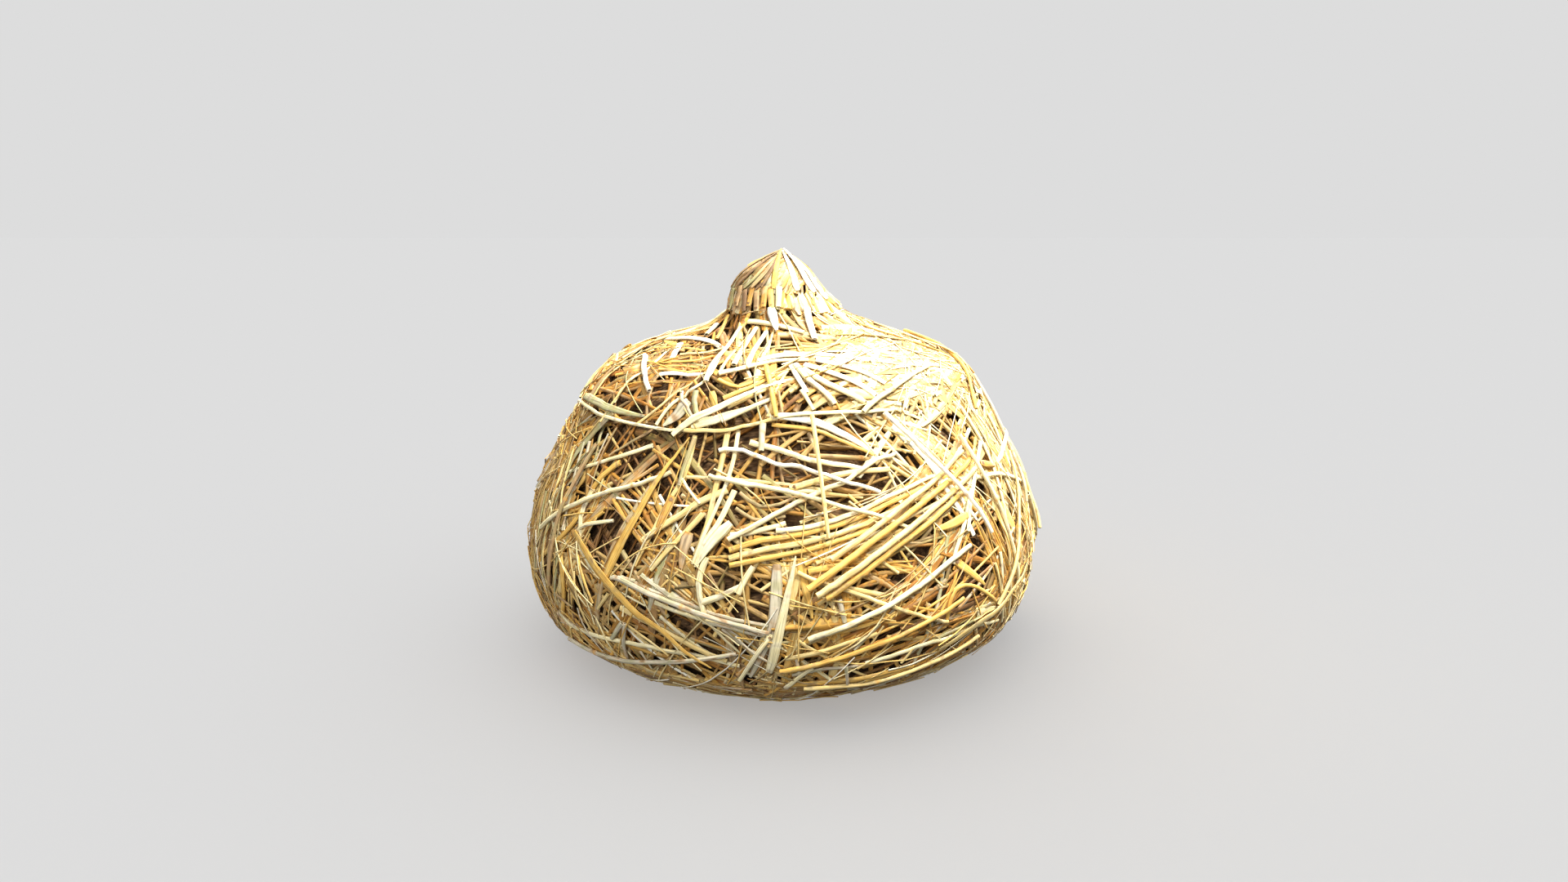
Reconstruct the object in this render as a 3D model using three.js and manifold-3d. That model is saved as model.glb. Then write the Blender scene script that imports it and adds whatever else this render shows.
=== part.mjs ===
// A small heap of hay, about an armful, pitched up in three forkfuls: a broad lower heap with a rolled-under
// foot, a domed cap whose hem shows across the front, and a pinched peak. Locks of hay stand out of each
// forkful, and loose straws and leaf blades lie across it, each resting on what lies below.
// Millimetres, +Z up. The origin is on the ground under the middle of the heap, and the front faces -Y.

import * as THREE from "three";
import { mergeVertices } from "three/addons/utils/BufferGeometryUtils.js";
import Module from "manifold-3d";

const wasm = await Module();
wasm.setup();

// Overall sizes
const WIDTH = 440;
const HEIGHT = 327;
const HALF_WIDTH = WIDTH / 2;

// The outline from the foot to the tip, as shares of the half width and of the height
const OUTLINE = [
  [0.675, 0.0],
  [0.77, 0.02],
  [0.87, 0.06],
  [0.955, 0.125],
  [1.0, 0.27],
  [0.962, 0.4],
  [0.895, 0.5],
  [0.735, 0.68],
  [0.62, 0.75],
  [0.335, 0.82],
  [0.222, 0.862],
  [0.12, 0.95],
  [0.0, 1.0],
];
const SIDES = 36;
const RINGS = 18;

// Where the forkfuls part. The hem of the cap is lower on the left of the front than on the right.
const HEM_HEIGHT = 216;
const HEM_TILT_DEG = 3.7;
const HEM_STEP = 2.5;
const PEAK_HEIGHT = 0.862 * HEIGHT;
const PEAK_LEAN = 10;
const GAP = 0.35;

// The neck below the peak is tucked in on the left, and the shoulder is fuller on the right
const NECK = { height: 0.8, reach: 0.05, left: 19, right: 7 };

// The fold in the cap: its right lobe laps over the left one along a line down from the peak
const FOLD = { bearing: -28, rise: 7, width: 70, low: 0.66, high: 0.9 };

// Locks of hay that stand out of the forkfuls
const LOCK = { width: 14, height: 8, length: 110, sides: 4, steps: 4 };
const HEAP_LOCKS = 28;
const CAP_LOCKS = 12;
const PEAK_LOCKS = 4;

// Loose straws and leaf blades
const STRAW = { sides: 5, steps: 6, taper: 0.78 };
const BLADE = { sides: 4, steps: 7, thickness: 1.6 };
const CLEARANCE = 0.9;
const STIFFNESS_RADIUS = 130;

const radians = THREE.MathUtils.degToRad;
const outlineCurve = new THREE.SplineCurve(
  OUTLINE.map(([out, up]) => new THREE.Vector2(out * HALF_WIDTH, up * HEIGHT)),
);
const FINE_OUTLINE = outlineCurve.getPoints(240);

// Two shares from 0 to 1 that spread evenly as the index goes up, and one that looks random
const EVEN_STEPS = [0.7548777, 0.5698403];
const spread = (index, which) => (index * EVEN_STEPS[which] + 0.5) % 1;
const scatter = (index, stream) => {
  const wave = Math.sin(index * 12.9898 + stream * 78.233) * 43758.5453;
  return wave - Math.floor(wave);
};

// How far the surface stands out of the plain turned outline: lumps, the fold, the neck and the peak's lean
function swell(bearing, height) {
  const up = height / HEIGHT;
  const middle = Math.sin(Math.PI * Math.min(1, up / 0.8));
  const lumps =
    middle * (1.6 * Math.sin(3 * bearing + 5 * up) + 1.1 * Math.sin(5 * bearing - 9 * up + 1));
  let past = THREE.MathUtils.radToDeg(bearing) - FOLD.bearing;
  past -= 360 * Math.round(past / 360);
  const reach = (up - FOLD.low) / (FOLD.high - FOLD.low);
  const along = reach > 0 && reach < 1 ? Math.sin(Math.PI * reach) : 0;
  const lap = past > 0 ? Math.exp(-past / FOLD.width) : -0.35 * Math.exp(past / 25);
  const leaning = Math.max(0, (height - PEAK_HEIGHT) / (HEIGHT - PEAK_HEIGHT));
  const lean = -PEAK_LEAN * Math.sin(Math.PI * Math.min(1, leaning)) * Math.sin(bearing);
  const side = Math.sin(bearing);
  const neck = Math.exp(-(((up - NECK.height) / NECK.reach) ** 2)) * side;
  return lumps + FOLD.rise * along * lap + lean + neck * (side < 0 ? NECK.left : NECK.right);
}

const bearingOf = (point) => Math.atan2(point.x, -point.y);

// The outline's point that lies nearest to a given point, with the way out of the heap there
function nearestOnForm(point) {
  const bearing = bearingOf(point);
  const out = Math.hypot(point.x, point.y);
  let best = { distance: Infinity };
  FINE_OUTLINE.forEach((sample, index) => {
    const radius = sample.x + swell(bearing, sample.y);
    const distance = Math.hypot(radius - out, sample.y - point.z);
    if (distance < best.distance) best = { distance, radius, height: sample.y, index };
  });
  const before = FINE_OUTLINE[Math.max(0, best.index - 3)];
  const after = FINE_OUTLINE[Math.min(FINE_OUTLINE.length - 1, best.index + 3)];
  const slope = after.clone().sub(before).normalize();
  const [east, south] = [Math.sin(bearing), -Math.cos(bearing)];
  return {
    foot: new THREE.Vector3(best.radius * east, best.radius * south, best.height),
    normal: new THREE.Vector3(slope.y * east, slope.y * south, -slope.x),
  };
}

// A closed three.js geometry as a solid that can be joined and cut
function toSolid(geometry) {
  geometry.deleteAttribute("normal");
  geometry.deleteAttribute("uv");
  const merged = mergeVertices(geometry, 1e-4);
  const corners = [];
  for (let i = 0; i < merged.index.count; i += 3) {
    const [a, b, c] = [0, 1, 2].map((k) => merged.index.getX(i + k));
    if (a !== b && b !== c && c !== a) corners.push(a, b, c);
  }
  const mesh = new wasm.Mesh({
    numProp: 3,
    vertProperties: new Float32Array(merged.attributes.position.array),
    triVerts: new Uint32Array(corners),
  });
  return new wasm.Manifold(mesh);
}

function toGeometry(solid) {
  const mesh = solid.getMesh();
  const geometry = new THREE.BufferGeometry();
  const places = new Float32Array((mesh.vertProperties.length / mesh.numProp) * 3);
  for (let i = 0; i < places.length / 3; i++)
    places.set(mesh.vertProperties.subarray(i * mesh.numProp, i * mesh.numProp + 3), i * 3);
  geometry.setAttribute("position", new THREE.BufferAttribute(places, 3));
  geometry.setIndex(new THREE.BufferAttribute(new Uint32Array(mesh.triVerts), 1));
  geometry.computeVertexNormals();
  return geometry;
}

// The heap's whole form as one turned solid with its lumps, standing out by an even step
function wholeForm(step) {
  const turned = [new THREE.Vector2(0, 0), ...outlineCurve.getPoints(RINGS)];
  const lathe = new THREE.LatheGeometry(turned, SIDES).rotateX(Math.PI / 2);
  const place = lathe.attributes.position;
  const point = new THREE.Vector3();
  for (let i = 0; i < place.count; i++) {
    point.fromBufferAttribute(place, i);
    const out = Math.hypot(point.x, point.y);
    if (out < 0.01 || point.z < 0.01) continue;
    const grown = (out + swell(bearingOf(point), point.z) + step) / out;
    place.setXY(i, point.x * grown, point.y * grown);
  }
  return toSolid(lathe);
}

// Everything above a height, as a block tilted about Y with its lower face through that height
function blockAbove(height, tiltDeg) {
  const size = 4 * HEIGHT;
  const block = new THREE.BoxGeometry(size, size, size);
  block.translate(0, 0, size / 2);
  block.rotateY(-radians(tiltDeg));
  block.translate(0, 0, height);
  return toSolid(block);
}

// A straight line laid against the form: evenly spaced rings, each with its foot on the form
function layLine({ bearing, height, lean, length, hug = 1 }, steps) {
  const turn = radians(bearing);
  const level = FINE_OUTLINE.reduce((a, b) => (Math.abs(b.y - height) < Math.abs(a.y - height) ? b : a));
  const middle = nearestOnForm(
    new THREE.Vector3(level.x * Math.sin(turn), -level.x * Math.cos(turn), level.y),
  );
  const across = new THREE.Vector3(Math.cos(turn), Math.sin(turn), 0);
  const upslope = new THREE.Vector3().crossVectors(middle.normal, across).normalize();
  const way = across
    .multiplyScalar(Math.cos(radians(lean)))
    .addScaledVector(upslope, Math.sin(radians(lean)));
  return Array.from({ length: steps + 1 }, (_, i) => {
    const share = i / steps;
    const straight = middle.foot.clone().addScaledVector(way, (share - 0.5) * length);
    const { foot, normal } = nearestOnForm(straight);
    const held = hug + (1 - hug) * (1 - Math.abs(2 * share - 1));
    return { share, foot: foot.lerp(straight, 1 - held), normal };
  });
}

// A cylinder bent along a line, flattened against the form, closed at both ends
function bentRod(line, halfWidth, halfThickness, sides) {
  const rod = new THREE.CylinderGeometry(1, 1, 1, sides, line.length - 1);
  const place = rod.attributes.position;
  const frames = line.map(({ centre, normal }, i) => {
    const before = line[Math.max(0, i - 1)].centre;
    const after = line[Math.min(line.length - 1, i + 1)].centre;
    const along = after.clone().sub(before).normalize();
    const side = new THREE.Vector3().crossVectors(along, normal).normalize();
    return { centre, side, out: new THREE.Vector3().crossVectors(side, along) };
  });
  for (let i = 0; i < place.count; i++) {
    const share = place.getY(i) + 0.5;
    const { centre, side, out } = frames[Math.round(share * (line.length - 1))];
    const spot = centre
      .clone()
      .addScaledVector(side, place.getX(i) * halfWidth(share))
      .addScaledVector(out, place.getZ(i) * halfThickness(share));
    place.setXYZ(i, spot.x, spot.y, spot.z);
  }
  return rod;
}

// Points along everything laid so far, each with the half thickness of what is there
const laid = [];
const ACROSS = [-1, 0, 1];
const BETWEEN = 5;

const onLine = (line, key, at) => {
  const low = Math.min(line.length - 2, Math.floor(at));
  return line[low][key].clone().lerp(line[low + 1][key], at - low);
};

function remember(line, halfWidth, halfThickness) {
  for (let at = 0; at <= line.length - 1; at += 1 / BETWEEN) {
    const share = at / (line.length - 1);
    const centre = onLine(line, "centre", at);
    const along = line[line.length - 1].centre.clone().sub(line[0].centre).normalize();
    const side = new THREE.Vector3().crossVectors(along, onLine(line, "normal", at)).normalize();
    const reach = halfThickness(share);
    for (const k of ACROSS)
      laid.push({ point: centre.clone().addScaledVector(side, k * Math.max(0, halfWidth(share) - reach)), reach });
  }
}

// How high above its foot a rod's middle has to lie to clear the form and all that is laid there
function clearHeight(foot, normal, side, halfWidth, halfThickness) {
  const aboveHem = foot.z > HEM_HEIGHT + foot.x * Math.tan(radians(HEM_TILT_DEG)) - 6;
  let height = halfThickness + CLEARANCE + (aboveHem ? HEM_STEP : 0);
  for (const k of ACROSS) {
    const edge = foot.clone().addScaledVector(side, k * Math.max(0, halfWidth - halfThickness));
    for (const { point, reach } of laid) {
      const apart = reach + halfThickness + CLEARANCE;
      const away = point.clone().sub(edge);
      if (away.lengthSq() > 900) continue;
      const up = away.dot(normal);
      const aside = away.lengthSq() - up * up;
      if (aside < apart * apart) height = Math.max(height, up + Math.sqrt(apart * apart - aside));
    }
  }
  return height;
}

// Rests a rod on the form and on what lies there, bending no tighter than a stiff straw does
function restLine(line, halfWidth, halfThickness) {
  const needs = [];
  const last = line.length - 1;
  const along = line[last].foot.clone().sub(line[0].foot).normalize();
  for (let at = 0; at <= last + 1e-6; at += 1 / BETWEEN) {
    const share = Math.min(1, at / last);
    const foot = onLine(line, "foot", Math.min(last, at));
    const normal = onLine(line, "normal", Math.min(last, at)).normalize();
    const side = new THREE.Vector3().crossVectors(along, normal).normalize();
    needs.push({ at, height: clearHeight(foot, normal, side, halfWidth(share), halfThickness(share)) });
  }
  const spacing = line[0].foot.distanceTo(line[1].foot);
  for (const [index, ring] of line.entries()) {
    const height = Math.max(
      ...needs.map(({ at, height }) => {
        const beyond = Math.max(0, Math.abs(at - index) - 1) * spacing;
        return height - (beyond * beyond) / (2 * STIFFNESS_RADIUS);
      }),
    );
    ring.centre = ring.foot.clone().addScaledVector(ring.normal, height);
  }
  return line;
}

// Locks are ridges with buried edges, spread evenly over a band of the form and lying every way
function lockSolids(count, lowest, highest, stream, size = 1) {
  return Array.from({ length: count }, (_, i) => {
    const place = {
      bearing: 360 * spread(i, 0),
      height: lowest + (highest - lowest) * spread(i, 1),
      lean: 150 * scatter(i, stream) - 75,
      length: LOCK.length * size * (0.8 + 0.4 * scatter(i, stream + 1)),
    };
    const line = layLine(place, LOCK.steps);
    for (const ring of line) ring.centre = ring.foot.clone();
    const bulge = (share) => 0.45 + 0.55 * Math.sin(Math.PI * share);
    const halfWidth = (share) => (LOCK.width / 2) * size * bulge(share);
    const halfThickness = (share) => (LOCK.height / 2) * size * bulge(share);
    remember(line, halfWidth, halfThickness);
    return toSolid(bentRod(line, halfWidth, halfThickness, LOCK.sides));
  });
}

// Places along the front that the eye goes to first: [bearing, height, lean, length, thickness]
// bearing is in degrees from the front towards the right, and lean is in degrees above level
const FRONT_STRAWS = [
  [18, 101, -24, 128, 3.6],
  [22, 104, 22, 150, 4.8],
  [18, 70, 17, 150, 4.4],
  [24, 40, 8, 150, 4.2],
  [-30, 44, 12, 176, 4.4],
  [7, 174, 25, 140, 4.2],
  [6, 172, -15, 150, 3.8],
  [4, 190, -17, 120, 3.6],
  [25, 140, 25, 150, 5.0],
  [26, 148, 25, 176, 5.2],
  [26, 156, 25, 190, 5.4],
  [27, 164, 25, 150, 4.8],
  [-17, 97, -15, 120, 4.6],
  [-45, 155, 28, 152, 4.4],
  [8, 184, -87, 86, 3.8],
  [38, 176, -58, 120, 4.4],
  [53, 142, -76, 130, 4.2],
  [59, 122, 52, 140, 4.0],
  [-53, 137, 82, 120, 4.2],
  [-3, 238, -80, 56, 4.6],
  [-49, 244, -36, 62, 5.2],
  [36, 238, 22, 96, 4.4],
];
const FRONT_BLADES = [
  [-30, 158, 68, 128, 9.0],
  [-30, 92, -33, 160, 9.5],
  [0, 92, 78, 92, 10.0],
  [-14, 228, 30, 90, 8.0],
  [48, 70, 19, 130, 8.5],
];

// The sides and the back carry the rest, spread evenly
const BACK_STRAWS = 18;
const BACK_BLADES = 7;

function backPlaces(count, stream, thickness) {
  return Array.from({ length: count }, (_, i) => [
    75 + 210 * spread(i, 0),
    38 + 222 * spread(i, 1),
    150 * scatter(i, stream) - 75,
    110 + 60 * scatter(i, stream + 1),
    thickness * (0.9 + 0.25 * scatter(i, stream + 2)),
  ]);
}

const HAY_COLOURS = {
  heap: 0xb08a4a,
  cap: 0xbd9853,
  peak: 0xc7a35b,
  straw: 0xe6c878,
  blade: 0xd9ab4b,
};
const group = new THREE.Group();

function addPiece(name, geometry, kind) {
  const material = new THREE.MeshStandardMaterial({
    color: HAY_COLOURS[kind],
    roughness: 0.72,
    metalness: 0,
    flatShading: true,
  });
  const mesh = new THREE.Mesh(geometry, material);
  mesh.name = name;
  group.add(mesh);
}

function addForkfuls() {
  const hemLow = HEM_HEIGHT - 14;
  const hemHigh = HEM_HEIGHT + 14;
  const heapLocks = lockSolids(HEAP_LOCKS, 34, hemLow - 18, 1);
  const capLocks = lockSolids(CAP_LOCKS, hemHigh + 8, 0.8 * HEIGHT, 2, 0.8);
  const peakLocks = lockSolids(PEAK_LOCKS, PEAK_HEIGHT + 8, HEIGHT - 18, 3, 0.4);
  const aboveHem = blockAbove(HEM_HEIGHT, HEM_TILT_DEG);
  const abovePeak = blockAbove(PEAK_HEIGHT, 0);
  const ground = blockAbove(0, 0);
  const heap = heapLocks.reduce((a, b) => a.add(b), wholeForm(0)).intersect(ground).subtract(aboveHem);
  const capWhole = capLocks.reduce((a, b) => a.add(b), wholeForm(HEM_STEP));
  const cap = capWhole.intersect(aboveHem.translate(0, 0, GAP)).subtract(abovePeak);
  const peakWhole = peakLocks.reduce((a, b) => a.add(b), wholeForm(HEM_STEP));
  const peak = peakWhole.intersect(abovePeak.translate(0, 0, GAP));
  addPiece("heap", toGeometry(heap), "heap");
  addPiece("cap", toGeometry(cap), "cap");
  addPiece("peak", toGeometry(peak), "peak");
}

function addStraws(places) {
  places.forEach(([bearing, height, lean, length, thickness], i) => {
    const radius = (share) => (thickness / 2) * (1 - (1 - STRAW.taper) * share);
    const line = restLine(layLine({ bearing, height, lean, length, hug: 0.94 }, STRAW.steps), radius, radius);
    remember(line, radius, radius);
    const name = `straw_${String(i + 1).padStart(2, "0")}`;
    addPiece(name, bentRod(line, radius, radius, STRAW.sides), "straw");
  });
}

function addBlades(places) {
  places.forEach(([bearing, height, lean, length, width], i) => {
    const halfWidth = (share) => (width / 2) * (1 - 0.85 * share ** 2.5) * (0.7 + 0.3 * Math.min(1, 5 * share));
    const halfThickness = () => BLADE.thickness / 2;
    const line = restLine(layLine({ bearing, height, lean, length, hug: 0.96 }, BLADE.steps), halfWidth, halfThickness);
    remember(line, halfWidth, halfThickness);
    const name = `blade_${String(i + 1).padStart(2, "0")}`;
    addPiece(name, bentRod(line, halfWidth, halfThickness, BLADE.sides), "blade");
  });
}

addForkfuls();
addBlades([...FRONT_BLADES, ...backPlaces(BACK_BLADES, 4, 8.5)]);
addStraws([...FRONT_STRAWS, ...backPlaces(BACK_STRAWS, 7, 4.4)]);

// The origin is under the middle of what was built
const box = new THREE.Box3().setFromObject(group);
const middle = box.getCenter(new THREE.Vector3());
group.position.set(-middle.x, -middle.y, -box.min.z);

export default group;
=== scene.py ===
# A pile of hay: three forkfuls of matted stems, with loose straws and leaf blades lying over them.
# Metres, +Z up, the front faces -Y. A place on the pile is a bearing from the front towards the right,
# an arc length up the outline from the foot, and a lift out of the form.
import math
import time

import bpy
import numpy as np
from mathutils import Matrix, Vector


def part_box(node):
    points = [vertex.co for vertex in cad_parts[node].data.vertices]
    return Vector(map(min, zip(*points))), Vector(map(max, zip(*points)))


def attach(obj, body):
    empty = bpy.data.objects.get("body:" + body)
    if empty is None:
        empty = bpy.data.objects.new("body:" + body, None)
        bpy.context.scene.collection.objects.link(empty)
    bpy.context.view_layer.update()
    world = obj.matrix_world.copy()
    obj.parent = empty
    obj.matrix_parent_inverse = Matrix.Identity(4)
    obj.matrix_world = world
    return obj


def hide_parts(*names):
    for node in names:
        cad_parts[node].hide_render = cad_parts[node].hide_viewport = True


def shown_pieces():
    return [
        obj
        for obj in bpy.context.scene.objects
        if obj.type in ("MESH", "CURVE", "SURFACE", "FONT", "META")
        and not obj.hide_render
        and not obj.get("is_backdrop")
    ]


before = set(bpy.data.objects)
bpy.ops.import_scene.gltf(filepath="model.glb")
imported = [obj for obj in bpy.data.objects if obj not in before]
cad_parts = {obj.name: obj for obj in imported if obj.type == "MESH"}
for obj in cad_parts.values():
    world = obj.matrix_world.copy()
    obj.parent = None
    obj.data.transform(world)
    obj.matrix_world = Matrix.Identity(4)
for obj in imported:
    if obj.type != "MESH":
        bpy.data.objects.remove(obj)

startTime = time.time()
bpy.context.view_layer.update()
mm = 0.001
fullTurn = 2 * math.pi


def say(words):
    print(f"{time.time() - startTime:6.1f} s  {words}")


def nodePoints(name):
    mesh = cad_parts[name].data
    points = np.empty(len(mesh.vertices) * 3)
    mesh.vertices.foreach_get("co", points)
    return points.reshape(-1, 3)


def addObject(name, data):
    made = bpy.data.objects.new(name, data)
    bpy.context.scene.collection.objects.link(made)
    return made


def shortTurn(turn):  # the same turn, between -180 and 180 degrees
    return turn - 360 * np.round(turn / 360)


def share(value, low, high):
    return np.clip((value - low) / (high - low), 0, 1)


# The form that everything lies on

form = {
    "outline": [  # shares of the half width and of the height, from the foot to the tip
        (0.675, 0.0), (0.77, 0.02), (0.87, 0.06), (0.955, 0.125), (1.0, 0.27), (0.962, 0.4),
        (0.895, 0.5), (0.735, 0.68), (0.62, 0.75), (0.335, 0.82), (0.222, 0.862), (0.12, 0.95), (0.0, 1.0),
    ],
    "outlinePoints": 700, "footSlack": 0.2 * mm, "lumps": (1.6 * mm, 1.1 * mm), "lumpsTo": 0.8,
    "foldRise": 7 * mm, "foldWidth": 70, "foldSag": -0.35, "foldSagWidth": 25, "foldLow": 0.66,
    "foldHigh": 0.9, "foldBearing": -27, "foldVeer": -26, "foldVeerFrom": 0.80, "foldVeerTo": 0.86,
    "neckHeight": 0.8, "neckReach": 0.05, "neckLeft": 14 * mm, "neckRight": 2 * mm,
    "peakFrom": 0.862, "peakLean": 4.5 * mm,
}

heapPoints = nodePoints("heap")
footRing = heapPoints[heapPoints[:, 2] < form["footSlack"]]
axisX, axisY = (footRing[:, :2].min(0) + footRing[:, :2].max(0)) / 2
halfWidth = (footRing[:, 0].max() - footRing[:, 0].min()) / 2 / form["outline"][0][0]
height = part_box("peak")[1].z


def smoothLine(points, count):
    p = np.asarray(points, float)
    at = np.linspace(0, len(p) - 1, count)
    low = np.minimum(at.astype(int), len(p) - 2)
    t = (at - low)[:, None]
    here, there = p[low], p[low + 1]
    leave = (there - p[np.maximum(low - 1, 0)]) / 2
    arrive = (p[np.minimum(low + 2, len(p) - 1)] - here) / 2
    cubic, square = 2 * here - 2 * there + leave + arrive, 3 * (there - here) - 2 * leave - arrive
    return cubic * t**3 + square * t**2 + leave * t + here


outline = smoothLine(np.array(form["outline"]) * (halfWidth, height), form["outlinePoints"])
outlineArc = np.concatenate([[0], np.cumsum(np.hypot(*np.diff(outline, axis=0).T))])
arcEnd = outlineArc[-1]
outlineSlope = np.gradient(outline, outlineArc, axis=0)


def arcAtHeight(level):
    return np.interp(level, outline[:, 1], outlineArc)


def heightAt(arc):
    return np.interp(arc, outlineArc, outline[:, 1])


def pastFold(bearing, level):  # degrees to the right of the fold, which veers left under the neck
    reach = share(level / height, form["foldVeerFrom"], form["foldVeerTo"])
    foldBearing = form["foldBearing"] + form["foldVeer"] * reach * reach * (3 - 2 * reach)
    return shortTurn(np.degrees(bearing) - foldBearing)


def swell(bearing, level):  # how far the form stands out of its turned outline
    up = level / height
    middle = np.sin(math.pi * np.minimum(1, up / form["lumpsTo"]))
    broad, fine = form["lumps"]
    lumps = middle * (broad * np.sin(3 * bearing + 5 * up) + fine * np.sin(5 * bearing - 9 * up + 1))
    past = pastFold(bearing, level)
    reach = share(up, form["foldLow"], form["foldHigh"])
    sag = form["foldSag"] * np.exp(-np.abs(past) / form["foldSagWidth"])
    lap = np.where(past > 0, np.exp(-np.abs(past) / form["foldWidth"]), sag)
    side = np.sin(bearing)
    lean = -form["peakLean"] * np.sin(math.pi * share(up, form["peakFrom"], 1)) * side
    neck = np.exp(-(((up - form["neckHeight"]) / form["neckReach"]) ** 2)) * side
    neck = neck * np.where(side < 0, form["neckLeft"], form["neckRight"])
    return lumps + form["foldRise"] * np.sin(math.pi * reach) * lap + lean + neck


def radiusAt(bearing, arc):
    return np.interp(arc, outlineArc, outline[:, 0]) + swell(bearing, heightAt(arc))


def surfaceAt(bearing, arc, lift):  # points and the way out of the pile there
    outward = np.interp(arc, outlineArc, outlineSlope[:, 1])
    upward = -np.interp(arc, outlineArc, outlineSlope[:, 0])
    length = np.hypot(outward, upward)
    outward, upward = outward / length, upward / length
    reach = radiusAt(bearing, arc) + lift * outward
    east, south = np.sin(bearing), -np.cos(bearing)
    points = np.stack([axisX + reach * east, axisY + reach * south, heightAt(arc) + lift * upward], -1)
    return points, np.stack([outward * east, outward * south, upward], -1)


def nearestPlace(points):  # bearing, arc and lift of points near the form
    x, y = points[:, 0] - axisX, points[:, 1] - axisY
    bearing, out = np.arctan2(x, -y), np.hypot(x, y)
    reach = outline[None, :, 0] + swell(bearing[:, None], outline[None, :, 1])
    arc = outlineArc[np.hypot(reach - out[:, None], outline[None, :, 1] - points[:, 2:3]).argmin(1)]
    foot, normal = surfaceAt(bearing, arc, np.zeros(len(arc)))
    return bearing, arc, ((points - foot) * normal).sum(1)


# The camera, as the photograph's: it looks down at the middle of the pile

camera = {
    "tilt": 14, "verticalView": 45, "sensor": 36.0, "widthShare": 0.2402, "near": 0.05, "far": 50,
    "photoSize": (1920, 1080), "middle": (957.5, 540), "rayFrom": 0.5, "rayTo": 1.3, "rayStep": 0.5 * mm,
}
focalPixels = camera["photoSize"][1] / 2 / math.tan(math.radians(camera["verticalView"] / 2))
tilt = math.radians(camera["tilt"])
lookAlong = np.array([0, math.cos(tilt), -math.sin(tilt)])
lookUp = np.array([0, math.sin(tilt), math.cos(tilt)])
cameraPlace = np.array([axisX, axisY, height / 2]) - lookAlong * halfWidth / camera["widthShare"]


def photoPlace(x, y):  # the point of the form that a photo pixel meets
    ray = lookAlong + lookUp * (camera["middle"][1] - y) / focalPixels
    ray = ray + np.array([1, 0, 0]) * (x - camera["middle"][0]) / focalPixels
    ray = ray / np.linalg.norm(ray)
    points = cameraPlace + ray * np.arange(camera["rayFrom"], camera["rayTo"], camera["rayStep"])[:, None]
    east, north, level = points[:, 0] - axisX, points[:, 1] - axisY, points[:, 2]
    reach = np.interp(level, outline[:, 1], outline[:, 0]) + swell(np.arctan2(east, -north), level)
    inside = (level > 0) & (level < height) & (np.hypot(east, north) < reach)
    return points[inside.argmax()] if inside.any() else None


def makeCamera():
    data = bpy.data.cameras.new("camera")
    data.sensor_width = camera["sensor"]
    data.lens = camera["sensor"] * focalPixels / camera["photoSize"][0]
    data.clip_start, data.clip_end = camera["near"], camera["far"]
    data.shift_x = (camera["photoSize"][0] / 2 - camera["middle"][0]) / camera["photoSize"][0]
    shown = addObject("camera", data)
    shown.location = cameraPlace
    shown.rotation_mode = "QUATERNION"
    shown.rotation_quaternion = Vector(lookAlong).to_track_quat("-Z", "Y")
    bpy.context.scene.camera = shown


# Laying stems: each one rests on what is there, and a map keeps the height of what has been laid

mat = {
    "depth": 11 * mm, "peakShare": 0.2, "top": -3.0 * mm, "cell": 1.0 * mm, "step": 2.0 * mm, "longest": 160,
    "hemStep": 4 * mm, "hemLow": 209 * mm, "hemHigh": 225.5 * mm, "hemTurn": -8, "hemTurnWidth": 9,
    "hemBehind": 150, "hemWaves": (1.5 * mm, 1.0 * mm), "hemLostAt": 60, "hemLostWidth": 38,
    "neck": 282 * mm, "ring": 294 * mm,
}
bearingCells = int(fullTurn * halfWidth / mat["cell"])
arcCells = int(arcEnd / mat["cell"]) + 1
columns = (np.arange(bearingCells) + 0.5) / bearingCells * fullTurn
rowArcs = (np.arange(arcCells) + 0.5) * mat["cell"]
arcHere = rowArcs[None, :]


def matDepth(bearing, arc):  # thinner in the narrow peak
    return np.minimum(mat["depth"], mat["peakShare"] * radiusAt(bearing, np.clip(arc, 0, arcEnd)))


laidHeight = -matDepth(columns[:, None], arcHere)
ceiling = np.full((bearingCells, arcCells), mat["top"])
gapSquared = (np.subtract.outer(np.arange(mat["longest"]), np.arange(mat["longest"])) * mat["step"]) ** 2
across = np.linspace(-1, 1, 7)


def hemLost(bearing):  # the hem is lost in the hay on the right
    return np.exp(-(((shortTurn(np.degrees(bearing)) - mat["hemLostAt"]) / mat["hemLostWidth"]) ** 2))


def hemArc(bearing):  # the cap's hem is low on the left and high on the right
    turn = shortTurn(np.degrees(bearing))
    rise = 1 / (1 + np.exp(-(turn - mat["hemTurn"]) / mat["hemTurnWidth"]))
    back = 1 / (1 + np.exp(-(np.abs(turn) - mat["hemBehind"]) / mat["hemTurnWidth"]))
    rise = rise * (1 - back) + 0.5 * back
    broad, fine = mat["hemWaves"]
    wave = broad * np.sin(7 * bearing + 1) + fine * np.sin(17 * bearing)
    return arcAtHeight(mat["hemLow"] + (mat["hemHigh"] - mat["hemLow"]) * rise + wave)


neckArc = arcAtHeight(mat["neck"])
ringArc = arcAtHeight(mat["ring"])

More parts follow.
